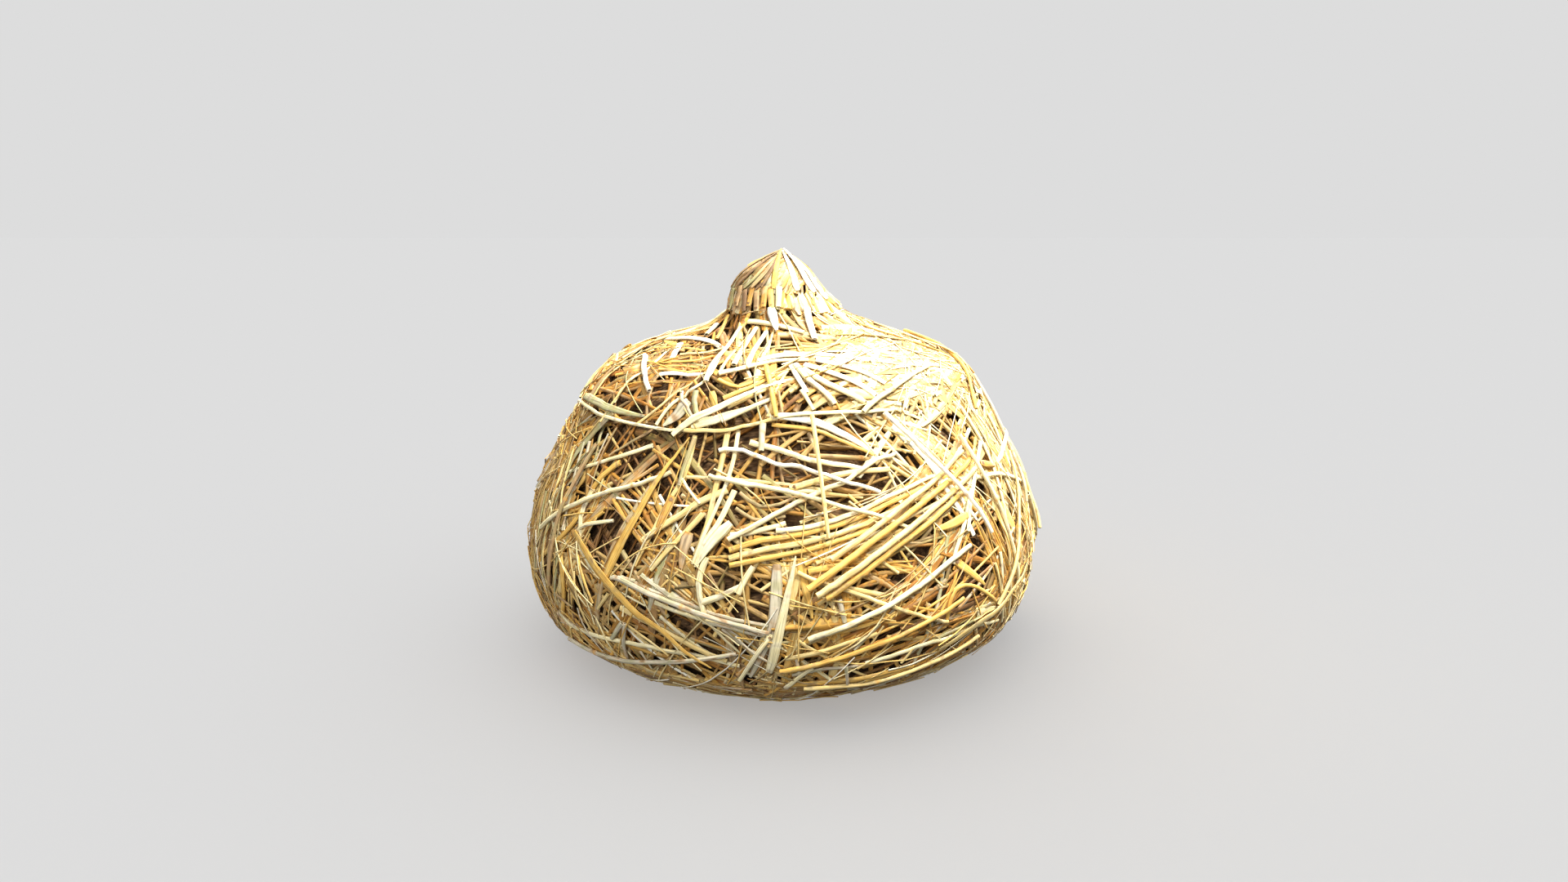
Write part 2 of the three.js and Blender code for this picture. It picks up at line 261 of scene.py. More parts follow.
gapsInPhoto = [  # dark hollows between the stems, darkened by painted shade: photo x, y and radius
    (735, 652, 19), (893, 372, 7), (884, 392, 6), (897, 388, 6), (906, 370, 5), (765, 566, 11),
    (790, 560, 9), (748, 547, 8), (724, 535, 6), (708, 606, 7), (720, 586, 8), (668, 612, 9),
    (858, 650, 14), (770, 672, 9), (790, 640, 7), (870, 533, 10), (892, 533, 8), (858, 560, 9),
    (812, 532, 9), (1050, 553, 6), (1030, 545, 7), (945, 526, 5), (972, 527, 5), (960, 568, 7),
    (990, 575, 6), (918, 576, 7), (923, 542, 6), (1012, 574, 6), (946, 607, 7), (998, 618, 7),
    (970, 633, 7), (1022, 615, 6), (1030, 628, 7), (1066, 592, 10), (905, 645, 10), (885, 630, 8),
    (862, 595, 8), (1210, 548, 7), (1162, 535, 7), (1170, 592, 8), (1120, 568, 8), (1105, 556, 4),
    (1150, 570, 5), (1142, 611, 8), (1105, 634, 8), (1070, 655, 9), (1112, 675, 9), (1130, 664, 8),
    (1200, 666, 9), (1212, 655, 5), (1232, 642, 8), (1241, 604, 9), (1205, 600, 7), (1251, 680, 8),
    (1195, 686, 7), (880, 699, 9), (900, 706, 12), (930, 738, 11), (926, 758, 9), (1010, 763, 6),
    (852, 772, 11), (836, 766, 9), (846, 820, 12), (866, 822, 9), (920, 838, 7), (1000, 812, 6),
    (966, 814, 6), (1050, 830, 7), (1100, 770, 12), (1128, 765, 8), (1172, 745, 10), (1192, 735, 10),
    (1214, 712, 11), (1165, 800, 7), (1105, 709, 6), (1082, 793, 7), (1108, 809, 7), (742, 748, 9),
    (706, 757, 9), (720, 715, 6), (780, 764, 6), (786, 790, 5), (808, 810, 7), (784, 814, 7), (828, 799, 7),
    (670, 705, 8), (783, 430, 5), (752, 453, 5), (790, 458, 6), (812, 470, 6), (830, 463, 6), (840, 470, 6),
    (770, 480, 6), (783, 498, 7), (762, 500, 6), (735, 490, 6), (850, 487, 7), (905, 494, 8), (885, 480, 6),
    (870, 471, 5), (900, 519, 7), (922, 508, 6), (987, 470, 6), (1003, 490, 7), (983, 490, 7),
    (960, 470, 4), (966, 492, 5), (998, 442, 6), (1016, 457, 6), (888, 400, 8), (880, 414, 5),
    (905, 417, 5), (910, 455, 6), (1168, 515, 6), (1205, 705, 9), (715, 545, 5),
]
hollows = {
    "photoScale": 1.12, "shadeReach": 1.5, "narrow": 1.9, "mostTurn": 1.2, "seed": 3,
    "foldTurn": 9, "foldFrom": 0.72, "foldDepth": 3.5 * mm,
    # how many more, between which bearings, in which shares of the way to the neck, and how big (mm)
    "more": [
        (150, (72, 288), (0.04, 0.66), (4, 9)), (90, (72, 288), (0.66, 0.94), (2.5, 5)),
        (60, (-80, 80), (0.05, 0.2), (2.5, 5)), (100, (-90, 25), (0.60, 0.98), (2, 5)),
    ],
}
hollow = np.zeros((bearingCells, arcCells), bool)
paintedGapShade = np.zeros((bearingCells, arcCells))  # painted shade between the stems: how dark they are coloured there


def sinkHollowWithShade(b, a, wide, turn=0.0, narrow=1.0):  # a hollow that is narrow across its turn, with painted shade around it
    aside = (((columns - b + math.pi) % fullTurn - math.pi) * radiusAt(b, a))[:, None]
    above = arcHere - a
    apart = np.hypot(aside * math.cos(turn) + above * math.sin(turn),
                     (above * math.cos(turn) - aside * math.sin(turn)) * narrow)
    hollow[apart < wide] = True
    np.maximum(paintedGapShade, np.clip(hollows["shadeReach"] - apart / wide, 0, 1), out=paintedGapShade)


for photoX, photoY, radius in gapsInPhoto:
    middle = photoPlace(photoX, photoY)
    if middle is not None:
        b, a, _ = (values[0] for values in nearestPlace(middle[None]))
        wide = hollows["photoScale"] * radius * np.linalg.norm(middle - cameraPlace) / focalPixels
        sinkHollowWithShade(b, a, wide)
past = pastFold(columns[:, None], heightAt(rowArcs)[None, :])
inFold = (past < 0) & (past > -hollows["foldTurn"])
inFold &= (arcHere > arcAtHeight(hollows["foldFrom"] * height)) & (arcHere < neckArc)
ceiling[inFold] -= hollows["foldDepth"]
hollowRandom = np.random.default_rng(hollows["seed"])
for count, turns, shares, reaches in hollows["more"]:
    for i in range(count):
        b, a = math.radians(hollowRandom.uniform(*turns)), hollowRandom.uniform(*shares) * neckArc
        wide = hollowRandom.uniform(*reaches) * mm
        turn = hollowRandom.uniform(-hollows["mostTurn"], hollows["mostTurn"])
        sinkHollowWithShade(b, a, wide, turn, hollows["narrow"])


def march(bearing, arc, lean, half, bend):  # lines over the form from their middles, both ways
    steps = int(half.max() / mat["step"]) + 1
    sides = []
    for way in (1, -1):
        b, a, turn = bearing.copy(), arc.copy(), lean.copy()
        rows = [(b.copy(), a.copy(), turn.copy())]
        for i in range(steps):
            level = np.clip(a, 0, arcEnd - 1 * mm)
            reach = np.maximum(radiusAt(b, level), 5 * mm)
            narrowing = np.interp(level, outlineArc, outlineSlope[:, 0])
            b = b + way * mat["step"] * np.cos(turn) / reach
            a = a + way * mat["step"] * np.sin(turn)
            turn = turn + way * mat["step"] * (narrowing * np.cos(turn) / reach + bend)
            rows.append((b, a, turn))
        sides.append(np.array(rows))
    return np.concatenate([sides[1][:0:-1], sides[0]]), steps


def cellAt(bearing, arc):
    column = (bearing / fullTurn * bearingCells).astype(int) % bearingCells
    return column, np.clip((arc / mat["cell"]).astype(int), 0, arcCells - 1)


def cellsUnder(bearing, arc, turn, radius):
    reach = np.maximum(radiusAt(bearing, np.clip(arc, 0, arcEnd)), 4 * mm)
    aside = across[:, None] * radius
    b = bearing - np.sin(turn) * aside / reach
    a = arc + np.cos(turn) * aside
    return cellAt(b, a)


def eased(values, reach):  # without the small waves
    window = np.hanning(2 * reach + 3)[1:-1]
    return np.convolve(np.pad(values, reach, mode="edge"), window / window.sum(), "valid")


def restOn(bearing, arc, turn, wide, thick, stiffness, slack=0.0):
    # Lifts of a stem that bends no tighter than its stiffness over what lies there, kept under the ceiling
    column, row = cellsUnder(bearing, arc, turn, wide)
    crown = np.sqrt(np.maximum(0, 1 - across[:, None] ** 2)) * thick
    need = (laidHeight[column, row] + crown).max(0)
    n = len(need)
    lift = (need[None, :] - gapSquared[:n, :n] / (2 * stiffness)).max(1)
    room = (ceiling[column, row] - crown).min(0) + slack
    return lift, np.minimum(lift, room), column, row, crown


def remember(lift, column, row, crown):
    np.maximum.at(laidHeight, (column, row), lift + crown)


lays = {
    # Which way the stems run, by place: bearing, height, main lean, second lean (degrees above level)
    "rightFront": (24, 140, 22, -20), "rightLow": (22, 62, 14, 24), "middle": (4, 170, -14, 24),
    "middleLow": (0, 90, -30, 75), "leftFront": (-30, 150, 66, -35), "leftLow": (-30, 70, -30, 60),
    "leftEdge": (-60, 150, 78, 34), "leftFoot": (-58, 60, -38, 80), "rightEdge": (58, 140, -70, 50),
    "rightUpper": (38, 190, -50, 35), "rightFoot": (60, 70, -65, 25), "capLeft": (-55, 240, 25, -20),
    "capMiddle": (-4, 238, 35, -70), "foldHigh": (-20, 252, -62, -50), "foldLeft": (-34, 266, -62, -75),
    "foldLow": (-14, 242, -58, -70), "capRight": (30, 245, -15, 40), "capBack": (150, 245, 30, -40),
}
layRule = {
    "more": 34, "seed": 11, "blur": 0.25, "spread": 13, "mainTo": 0.5, "strayFrom": 0.8, "nearest": 0.03,
}
layPlaces = [(math.radians(b), float(arcAtHeight(up * mm)), *leans) for b, up, *leans in lays.values()]
layRandom = np.random.default_rng(layRule["seed"])
for i in range(layRule["more"]):  # the sides and the back
    layPlaces.append((
        math.radians(layRandom.uniform(80, 280)), layRandom.uniform(0.05, 0.95) * neckArc,
        layRandom.uniform(-90, 90), layRandom.uniform(-90, 90),
    ))
layPlaces = np.array(layPlaces)


def leanAt(bearing, arc, random):
    apart = bearing[:, None] - layPlaces[None, :, 0]
    apart = apart - fullTurn * np.round(apart / fullTurn)
    apart = apart * np.maximum(radiusAt(bearing, arc), layRule["nearest"])[:, None]
    distance = np.hypot(apart, arc[:, None] - layPlaces[None, :, 1])
    lay = (distance * random.uniform(1 - layRule["blur"], 1 + layRule["blur"], distance.shape)).argmin(1)
    choice = random.random(len(bearing))
    lean = np.where(choice < layRule["mainTo"], layPlaces[lay, 2], layPlaces[lay, 3])
    lean = lean + random.normal(0, layRule["spread"], len(bearing))
    return np.radians(np.where(choice > layRule["strayFrom"], random.uniform(-90, 90, len(bearing)), lean))


laying = {
    "tries": 16, "candidates": 4, "leastShare": 0.04, "mostPressed": 0.4, "heart": 0.6, "toneSpread": 0.03,
    "lobeEdge": (-1.5, 1.0), "lobeBeyond": 80, "jointPlace": (0.15, 0.85), "leafThick": 0.5 * mm,
    "leafTwist": 0.9, "leafTaper": (0.72, 0.95),
}
toneOf = {  # places on the ramp of hay colours
    "umber": 0.02, "tan": 0.13, "olive": 0.22, "ash": 0.32, "amber": 0.43, "gold": 0.55, "straw": 0.70,
    "ivory": 0.85, "white": 1.0,
}


def pickTone(tones, random):  # a colour's place on the ramp, a little off it
    names = list(tones)
    shares = np.array([tones[name] for name in names], float)
    tone = toneOf[names[random.choice(len(names), p=shares / shares.sum())]]
    return float(tone + random.normal(0, laying["toneSpread"]))


# Tones by place: painted light on the right shoulder, painted shade on the left shoulder, the left foot, the
# lower right, the cap and the left of the peak, and a paler middle
paintedLightShadeAndTones = {
    # bearing and share of the height, how far each reaches, the tone there, and how strong it is
    "paintedLightShoulder": (48, 0.72, 40, 0.24, 0.95, 0.75), "paintedShadeLowerRight": (42, 0.31, 28, 0.13, 0.1, 0.5),
    "paintedShadeLeftShoulder": (-62, 0.68, 34, 0.2, 0.15, 0.45), "paintedShadeLeftFoot": (-75, 0.12, 28, 0.14, 0.08, 0.5),
    "paleMiddle": (20, 0.6, 17, 0.09, 0.92, 0.6), "paintedShadeCap": (-22, 0.79, 26, 0.1, 0.15, 0.35),
    "paintedShadePeakLeft": (-60, 0.93, 50, 0.08, 0.08, 0.7),
}


def toneWithPaintedLight(tone, bearing, arc):  # drawn towards the tones set there, mostly painted light and painted shade
    level = heightAt(arc) / height
    for turn, up, turnReach, upReach, there, strength in paintedLightShadeAndTones.values():
        aside = shortTurn(math.degrees(bearing) - turn) / turnReach
        above = (level - up) / upReach
        tone += (there - tone) * strength * math.exp(-(aside**2) - above**2)
    return tone


def layStem(b, a, turn, wide, thick, kind):  # rests one stem, and gives nothing where there is no room
    wanted, lift, column, row, crown = restOn(b, a, turn, wide, thick, kind["stiffness"])
    if (wanted - lift > kind["press"]).mean() > laying["mostPressed"]:
        return None
    lift = eased(lift, kind["ease"])
    remember(lift, column, row, crown)
    return {"bearing": b, "arc": a, "turn": turn, "lift": lift, "wide": wide, "flat": thick / wide}


def laySet(kind, low, high, lobes=False):
    # Lays a whole set of stems between two arcs that vary with the bearing
    random = np.random.default_rng(kind["seed"])
    tries, most = kind["count"] * laying["tries"], kind["count"] * laying["candidates"]
    bearing = random.uniform(-math.pi, math.pi, tries)
    arc = random.uniform(low(bearing).min(), high(bearing).max(), tries)
    keep = (arc > low(bearing)) & (arc < high(bearing))
    chance = radiusAt(bearing, arc) / kind.get("widest", halfWidth)
    keep &= random.random(tries) < np.clip(chance, laying["leastShare"], 1)
    bearing, arc = bearing[keep][:most], arc[keep][:most]
    count = len(arc)
    if "lean" in kind:
        lean = np.radians(kind["lean"] + random.normal(0, kind["leanSpread"], count))
    else:
        lean = leanAt(bearing, arc, random)
    length = random.uniform(*kind["length"], count)
    paths, middle = march(bearing, arc, lean, length / 2, random.normal(0, kind["bend"], count))
    jag = random.uniform(-1, 1, count) * (kind["jag"] + kind.get("stray", 0) * hemLost(bearing))
    inside = (paths[:, 1] > low(paths[:, 0]) + jag) & (paths[:, 1] < high(paths[:, 0]) + jag)
    if lobes:  # the stems of one lobe stop at the fold
        past = pastFold(paths[:, 0], heightAt(paths[:, 1]))
        side = np.where(past[middle] > 0, 1, -1)
        beyond = np.abs(past) > laying["lobeBeyond"]
        inside &= (past * side > random.uniform(*laying["lobeEdge"], count)) | beyond
    stems = []
    for i in range(count):
        if len(stems) == kind["count"]:
            break
        half = int(length[i] / 2 / mat["step"])
        first = last = middle
        while first > middle - half and inside[first - 1, i]:
            first -= 1
        while last < middle + half and inside[last + 1, i]:
            last += 1
        last = min(last, first + mat["longest"] - 1)
        if (last - first) * mat["step"] < kind["shortest"]:
            continue
        b, a, turn = (paths[first:last + 1, k, i] for k in range(3))
        isLeaf = random.random() < kind["leaves"]
        wide = random.uniform(*kind["leafWidth" if isLeaf else "width"]) / 2
        column, row = cellsUnder(b, a, turn, laying["heart"] * wide)
        if hollow[column, row].any() and random.random() < kind["avoid"]:
            continue
        thick = laying["leafThick"] if isLeaf else wide * random.uniform(*kind["flat"])
        stem = layStem(b, a, turn, wide, thick, kind)
        if stem is None:
            continue
        tone = toneWithPaintedLight(pickTone(kind["tones"], random), b[len(b) // 2], a[len(a) // 2])
        spring = random.uniform(0, kind["spring"])
        hasJoint = random.random() < kind["joints"] and not isLeaf
        stem.update({
            "tone": tone, "depth": kind["depth"], "spring": spring,
            "joint": random.uniform(*laying["jointPlace"]) if hasJoint else None,
            "twist": random.normal(0, laying["leafTwist"] if isLeaf else kind["twist"]),
            "taper": random.uniform(*(laying["leafTaper"] if isLeaf else kind["taper"])),
        })
        stems.append(stem)
    return stems


# Stems as meshes, made by Geometry Nodes from their centre lines

stemShape = {
    "spacing": 13 * mm, "floorGap": 0.3 * mm, "springFrom": 0.6, "jointLength": 2.6 * mm, "jointClear": 1.6,
    "jointSwell": 1.28, "leafTaper": 0.7, "leafTip": 2.2, "leafFoot": 0.65, "leafOpens": 6, "mouthWall": 0.6,
    "mouthDepth": 1.6, "footShade": 0.5, "footShadeReach": 26 * mm, "gapShadeStrength": 0.9, "gapShadeBelow": 0.9,
}


def stemLines(stems, spacing):
    # Centre points of all stems, with what the sweep needs at each
    values, edges, start = {}, [], 0
    for number, stem in enumerate(stems):
        n = len(stem["arc"])
        length = (n - 1) * mat["step"]
        shares = list(np.linspace(0, 1, max(4, int(round(length / spacing)) + 1)))
        jointAt = stem["joint"]
        if jointAt is not None:
            reach = stemShape["jointLength"] / length
            shares = [s for s in shares if abs(s - jointAt) > stemShape["jointClear"] * reach]
            shares += [jointAt - reach, jointAt, jointAt + reach]
        shares = np.array(sorted(shares))
        at = shares * (n - 1)
        path = np.unwrap(stem["bearing"]), stem["arc"], stem["lift"]
        bearing, arc, lift = (np.interp(at, np.arange(n), line) for line in path)
        lift = lift + stem["spring"] * share(np.abs(2 * shares - 1), stemShape["springFrom"], 1) ** 2
        points, normal = surfaceAt(bearing, np.clip(arc, 0, arcEnd), lift)
        points[:, 2] = np.maximum(points[:, 2], stem["wide"] * stem["flat"] + stemShape["floorGap"])
        along = np.gradient(points, axis=0)
        along /= np.linalg.norm(along, axis=1, keepdims=True)
        twist = (stem["twist"] * (shares - 0.5))[:, None]
        # Painted shade: darker towards the floor, and where stems below the top layer cross a hollow
        shade = np.exp(-points[:, 2] / stemShape["footShadeReach"]) * stemShape["footShade"]
        if stem["depth"] < stemShape["gapShadeBelow"]:
            shade = 1 - (1 - shade) * (1 - stemShape["gapShadeStrength"] * paintedGapShade[cellAt(bearing, arc)])
        thick = stem["wide"] * (1 - stem["taper"] * shares)
        if stem["taper"] > stemShape["leafTaper"]:  # a leaf narrows towards its tip
            foot = stemShape["leafFoot"]
            thick = stem["wide"] * (1 - stem["taper"] * shares ** stemShape["leafTip"])
            thick = thick * (foot + (1 - foot) * np.minimum(1, stemShape["leafOpens"] * shares))
        joint = np.zeros(len(shares))
        if jointAt is not None:
            joint[np.abs(shares - jointAt) < 1e-6] = 1
            thick = thick * (1 + (stemShape["jointSwell"] - 1) * joint)
        here = {
            "point": points, "face": np.cos(twist) * normal + np.sin(twist) * np.cross(along, normal),
            "thick": thick, "flat": stem["flat"], "along": shares, "tone": stem["tone"], "joint": joint,
            "depth": stem["depth"] * (1 - shade), "stem": float(number), "run": shares * length,
        }
        for key, value in here.items():
            values.setdefault(key, []).append(value if np.ndim(value) else np.full(len(at), value))
        ids = np.arange(start, start + len(at))
        edges.append(np.stack([ids[:-1], ids[1:]], 1))
        start += len(at)
    return {key: np.concatenate(parts) for key, parts in values.items()}, np.concatenate(edges)


class Wiring:
    # Short names for building a node tree
    def __init__(self, tree):
        self.tree = tree

    def add(self, kind, links=None, **settings):
        node = self.tree.nodes.new(kind)
        for key, value in settings.items():
            setattr(node, key, value)
        for key, value in (links or {}).items():
            if isinstance(value, bpy.types.NodeSocket):
                self.tree.links.new(value, node.inputs[key])
            else:
                node.inputs[key].default_value = value
        return node

    def math(self, operation, first, second, **settings):
        return self.add("ShaderNodeMath", {0: first, 1: second}, operation=operation, **settings).outputs[0]

    def vector(self, operation, links, output="Vector"):
        return self.add("ShaderNodeVectorMath", links, operation=operation).outputs[output]

    def rescale(self, value, low, high, to=(0.0, 1.0)):
        return self.add("ShaderNodeMapRange", {
            "Value": value, "From Min": low, "From Max": high, "To Min": to[0], "To Max": to[1],
        }).outputs["Result"]

    def mix(self, first, second, factor, blend="MIX"):
        links = {0: factor, 6: first, 7: second}
        return self.add("ShaderNodeMix", links, data_type="RGBA", blend_type=blend).outputs[2]

    def ramp(self, value, stops):  # stops are places with the name of a colour or a grey
        node = self.add("ShaderNodeValToRGB", {"Fac": value})
        elements = node.color_ramp.elements
        while len(elements) < len(stops):
            elements.new(0.5)
        for element, (place, colour) in zip(elements, stops):
            element.position = place
            element.color = (*(hayColours[colour] if isinstance(colour, str) else (colour,) * 3), 1)
        return node.outputs["Color"]

    def surface(self, colour, roughness, height, bump, distance, shine):
        relief = self.add("ShaderNodeBump", {"Height": height, "Strength": bump, "Distance": distance})
        shader = self.add("ShaderNodeBsdfPrincipled", {
            "Base Color": colour, "Roughness": roughness, "Normal": relief.outputs["Normal"],
            "Specular IOR Level": shine,
        })
        self.add("ShaderNodeOutputMaterial", {"Surface": shader.outputs[0]})


def freshWiring(owner):  # for a material or a world
    owner.use_nodes = True
    owner.node_tree.nodes.clear()
    return Wiring(owner.node_tree)


def stemTree():
    tree = bpy.data.node_groups.new("stems from centre lines", "GeometryNodeTree")
    sockets = {
        "Centre Lines": "Geometry", "Sides": "Int", "Mouth Wall": "Float", "Mouth Depth": "Float",
        "Open Ends": "Bool", "Material": "Material",
    }
    for name, kind in sockets.items():
        tree.interface.new_socket(name, in_out="INPUT", socket_type="NodeSocket" + kind)
    tree.interface.new_socket("Stems", in_out="OUTPUT", socket_type="NodeSocketGeometry")
    wire = Wiring(tree)
    start = wire.add("NodeGroupInput").outputs

    def named(name, kind="FLOAT"):
        node = wire.add("GeometryNodeInputNamedAttribute", {"Name": name}, data_type=kind)
        return node.outputs["Attribute"]

    def store(geometry, name, value, kind="FLOAT", selection=True):
        links = {"Geometry": geometry, "Name": name, "Value": value, "Selection": selection}
        node = wire.add("GeometryNodeStoreNamedAttribute", links, data_type=kind, domain="POINT")
        return node.outputs["Geometry"]

    position = wire.add("GeometryNodeInputPosition").outputs["Position"]
    lines = store(start["Centre Lines"], "centre", position, "FLOAT_VECTOR")
    curves = wire.add("GeometryNodeMeshToCurve", {"Mesh": lines}).outputs["Curve"]
    circle = wire.add("GeometryNodeCurvePrimitiveCircle", {"Resolution": start["Sides"], "Radius": 1.0})
    index = wire.add("GeometryNodeInputIndex").outputs["Index"]
    circle = store(circle.outputs["Curve"], "around", index)
    swept = wire.add("GeometryNodeCurveToMesh", {
        "Curve": curves, "Profile Curve": circle, "Scale": named("thick"), "Fill Caps": True,
    }).outputs["Mesh"]

    # Flattened along the way each stem faces
    face = named("face", "FLOAT_VECTOR")
    away = wire.vector("SUBTRACT", {0: position, 1: named("centre", "FLOAT_VECTOR")})
    depth = wire.vector("DOT_PRODUCT", {0: away, 1: face}, "Value")
    move = wire.math("MULTIPLY", wire.math("SUBTRACT", named("flat"), 1.0), depth)
    offset = wire.vector("SCALE", {0: face, "Scale": move})
    flattened = wire.add("GeometryNodeSetPosition", {"Geometry": swept, "Offset": offset}).outputs["Geometry"]

    # Cut stalks are hollow: the end faces get a wall and a well
    corners = wire.add("GeometryNodeInputMeshFaceNeighbors").outputs["Vertex Count"]
    isEnd = wire.add("FunctionNodeCompare", {2: corners, 3: 4}, data_type="INT", operation="GREATER_THAN")
    isEnd = wire.add(
        "FunctionNodeBooleanMath", {0: isEnd.outputs["Result"], 1: start["Open Ends"]}, operation="AND")
    rim = wire.add("GeometryNodeExtrudeMesh", {
        "Mesh": flattened, "Selection": isEnd.outputs["Boolean"], "Offset Scale": 0.0, "Individual": False,
    }).outputs
    wall = wire.add("GeometryNodeScaleElements", {
        "Geometry": rim["Mesh"], "Selection": rim["Top"], "Scale": start["Mouth Wall"],
    }).outputs["Geometry"]
    wall = store(wall, "mouth", 1.0, selection=rim["Top"])
    inward = wire.math("MULTIPLY", wire.math("MULTIPLY", named("thick"), start["Mouth Depth"]), -1.0)
    well = wire.add("GeometryNodeExtrudeMesh", {
        "Mesh": wall, "Selection": rim["Top"], "Offset Scale": inward, "Individual": False,
    }).outputs
    ended = store(well["Mesh"], "mouth", 2.0, selection=well["Top"])
    realized = wire.add("GeometryNodeRealizeInstances", {"Geometry": ended}).outputs["Geometry"]
    dressed = wire.add("GeometryNodeSetMaterial", {"Geometry": realized, "Material": start["Material"]})
    wire.add("NodeGroupOutput", {"Stems": dressed.outputs["Geometry"]})
    return tree


bakeCell = {
    # How a stem fills its cell of OFBake: its side from the left, and its two ends as discs on the right
    "lengthToGirth": 10, "sideAlong": (0.02, 0.86), "sideAround": (0.08, 0.84), "endAlong": (0.94, 0.035),
    "endAround": (0.26, 0.74, 0.19), "rings": (0.25, 0.62), "streakUnit": 10 * mm, "streakShift": (7.3, 3.7),
}


def pointValues(mesh, name):
    values = np.zeros(len(mesh.vertices))
    if name in mesh.attributes:
        mesh.attributes[name].data.foreach_get("value", values)
    return values


def writeMaps(mesh, stemCount, sides):
    # Two maps: StemMap runs along and around each stem, and OFBake gives each stem a cell of its own
    corners = np.empty(len(mesh.loops), int)
    mesh.loops.foreach_get("vertex_index", corners)
    faceSizes = np.empty(len(mesh.polygons), int)
    mesh.polygons.foreach_get("loop_total", faceSizes)
    faceOf = np.repeat(np.arange(len(faceSizes)), faceSizes)
    starts = np.concatenate([[0], np.cumsum(faceSizes)[:-1]])
    names = ("around", "along", "mouth", "stem", "run")
    around, along, mouth, stem, run = (pointValues(mesh, name)[corners] for name in names)

    def spread(values):  # how much they differ within the face of each corner
        return (np.maximum.reduceat(values, starts) - np.minimum.reduceat(values, starts))[faceOf]

    def addMap(name, u, v):
        mesh.uv_layers.new(name=name).data.foreach_set("uv", np.stack([u, v], 1).ravel())

    turns = np.where((spread(around) > 1.5) & (around < 0.5), sides, around) / sides
    atEnd = spread(along) < 1e-5
    cellColumns = max(1, round(math.sqrt(stemCount / bakeCell["lengthToGirth"])))
    rows = math.ceil(stemCount / cellColumns)
    ring = np.select([mouth > 1.5, mouth > 0.5], bakeCell["rings"], 1.0)
    angle = fullTurn * around / sides
    left, long = bakeCell["sideAlong"]
    bottom, high = bakeCell["sideAround"]
    endMiddle, endWide = bakeCell["endAlong"]
    footMiddle, tipMiddle, endHigh = bakeCell["endAround"]
    u = np.where(atEnd, endMiddle + endWide * ring * np.cos(angle), left + long * along)
    endAround = np.where(along > 0.5, tipMiddle, footMiddle) + endHigh * ring * np.sin(angle)
    v = np.where(atEnd, endAround, bottom + high * turns)
    addMap("OFBake", (stem % cellColumns + u) / cellColumns, (stem // cellColumns + v) / rows)
    runShift, turnShift = bakeCell["streakShift"]
    addMap("StemMap", run / bakeCell["streakUnit"] + runShift * stem, turns + turnShift * stem)


def makeStems(name, stems, material, sides=6, spacing=stemShape["spacing"], openEnds=False):
    lines, edges = stemLines(stems, spacing)
    mesh = bpy.data.meshes.new(name + " lines")
    mesh.from_pydata(lines["point"].tolist(), edges.tolist(), [])
    for key in ("thick", "flat", "along", "tone", "depth", "joint", "stem", "run"):
        mesh.attributes.new(key, "FLOAT", "POINT").data.foreach_set("value", lines[key])
    mesh.attributes.new("face", "FLOAT_VECTOR", "POINT").data.foreach_set("vector", lines["face"].ravel())
    holder = addObject(name + " lines", mesh)
    modifier = holder.modifiers.new("stems", "NODES")
    modifier.node_group = stemNodes
    values = {
        "Sides": sides, "Mouth Wall": stemShape["mouthWall"], "Mouth Depth": stemShape["mouthDepth"],
        "Open Ends": openEnds, "Material": material,
    }
    for item in stemNodes.interface.items_tree:
        if item.in_out == "INPUT" and item.name in values:
            modifier[item.identifier] = values[item.name]
    graph = bpy.context.evaluated_depsgraph_get()
    made = bpy.data.meshes.new_from_object(holder.evaluated_get(graph), depsgraph=graph)
    bpy.data.objects.remove(holder)
    made.name = name
    writeMaps(made, len(stems), sides)
    for key in ("centre", "face", "thick", "flat", "around", "stem", "run"):
        if key in made.attributes:
            made.attributes.remove(made.attributes[key])
    made.polygons.foreach_set("use_smooth", np.ones(len(made.polygons), bool))
    say(f"{name}: {len(stems)} stems, {sum(len(p.vertices) - 2 for p in made.polygons)} triangles")
    return addObject(name, made)


# Materials

hayColours = {
    "white": (0.96, 0.91, 0.74), "ivory": (0.89, 0.78, 0.45), "straw": (0.79, 0.60, 0.25),
    "gold": (0.72, 0.44, 0.10), "amber": (0.57, 0.29, 0.06), "ash": (0.60, 0.53, 0.39),
    "olive": (0.40, 0.38, 0.17), "tan": (0.46, 0.30, 0.14), "umber": (0.20, 0.115, 0.055),
    # From here on the colours are painted shade: the first darkens the packed hay, the others multiply each
    # stem's colour by how deep it lies
    "gap": (0.045, 0.025, 0.014), "paintedShadeDarkest": (0.36, 0.25, 0.15), "paintedShadeDeep": (0.53, 0.40, 0.255),
    "shaded": (0.82, 0.72, 0.545), "open": (1.0, 1.0, 1.0),
}
stalkLook = {
    "tones": [(place, colour) for colour, place in toneOf.items()], "drift": 0.06,
    "streakScale": (0.4, 13, 1), "streakNoise": (1.0, 3.0, 0.6),
    "streakShades": [(0.30, 0.5), (0.55, 1.0), (0.78, 1.12)], "blotchNoise": (0.9, 2.0, 0.5),
    "driftRange": (0.3, 0.7), "mouthShadeRange": (0.9, 1.4), "dirt": 0.6,
    "dirtPlaces": [(0.60, 0.0), (0.74, 1.0)], "joint": 0.75,
    "depthShade": [(0.0, "paintedShadeDarkest"), (0.12, "paintedShadeDeep"), (0.5, "shaded"), (0.9, "open")],
    "roughness": (0.55, 0.75), "bump": 0.6, "bumpHeight": 0.3 * mm, "shine": 0.3,
}
leafLook = {**stalkLook, "streakScale": (0.3, 26, 1), "roughness": (0.6, 0.8), "shine": 0.25}
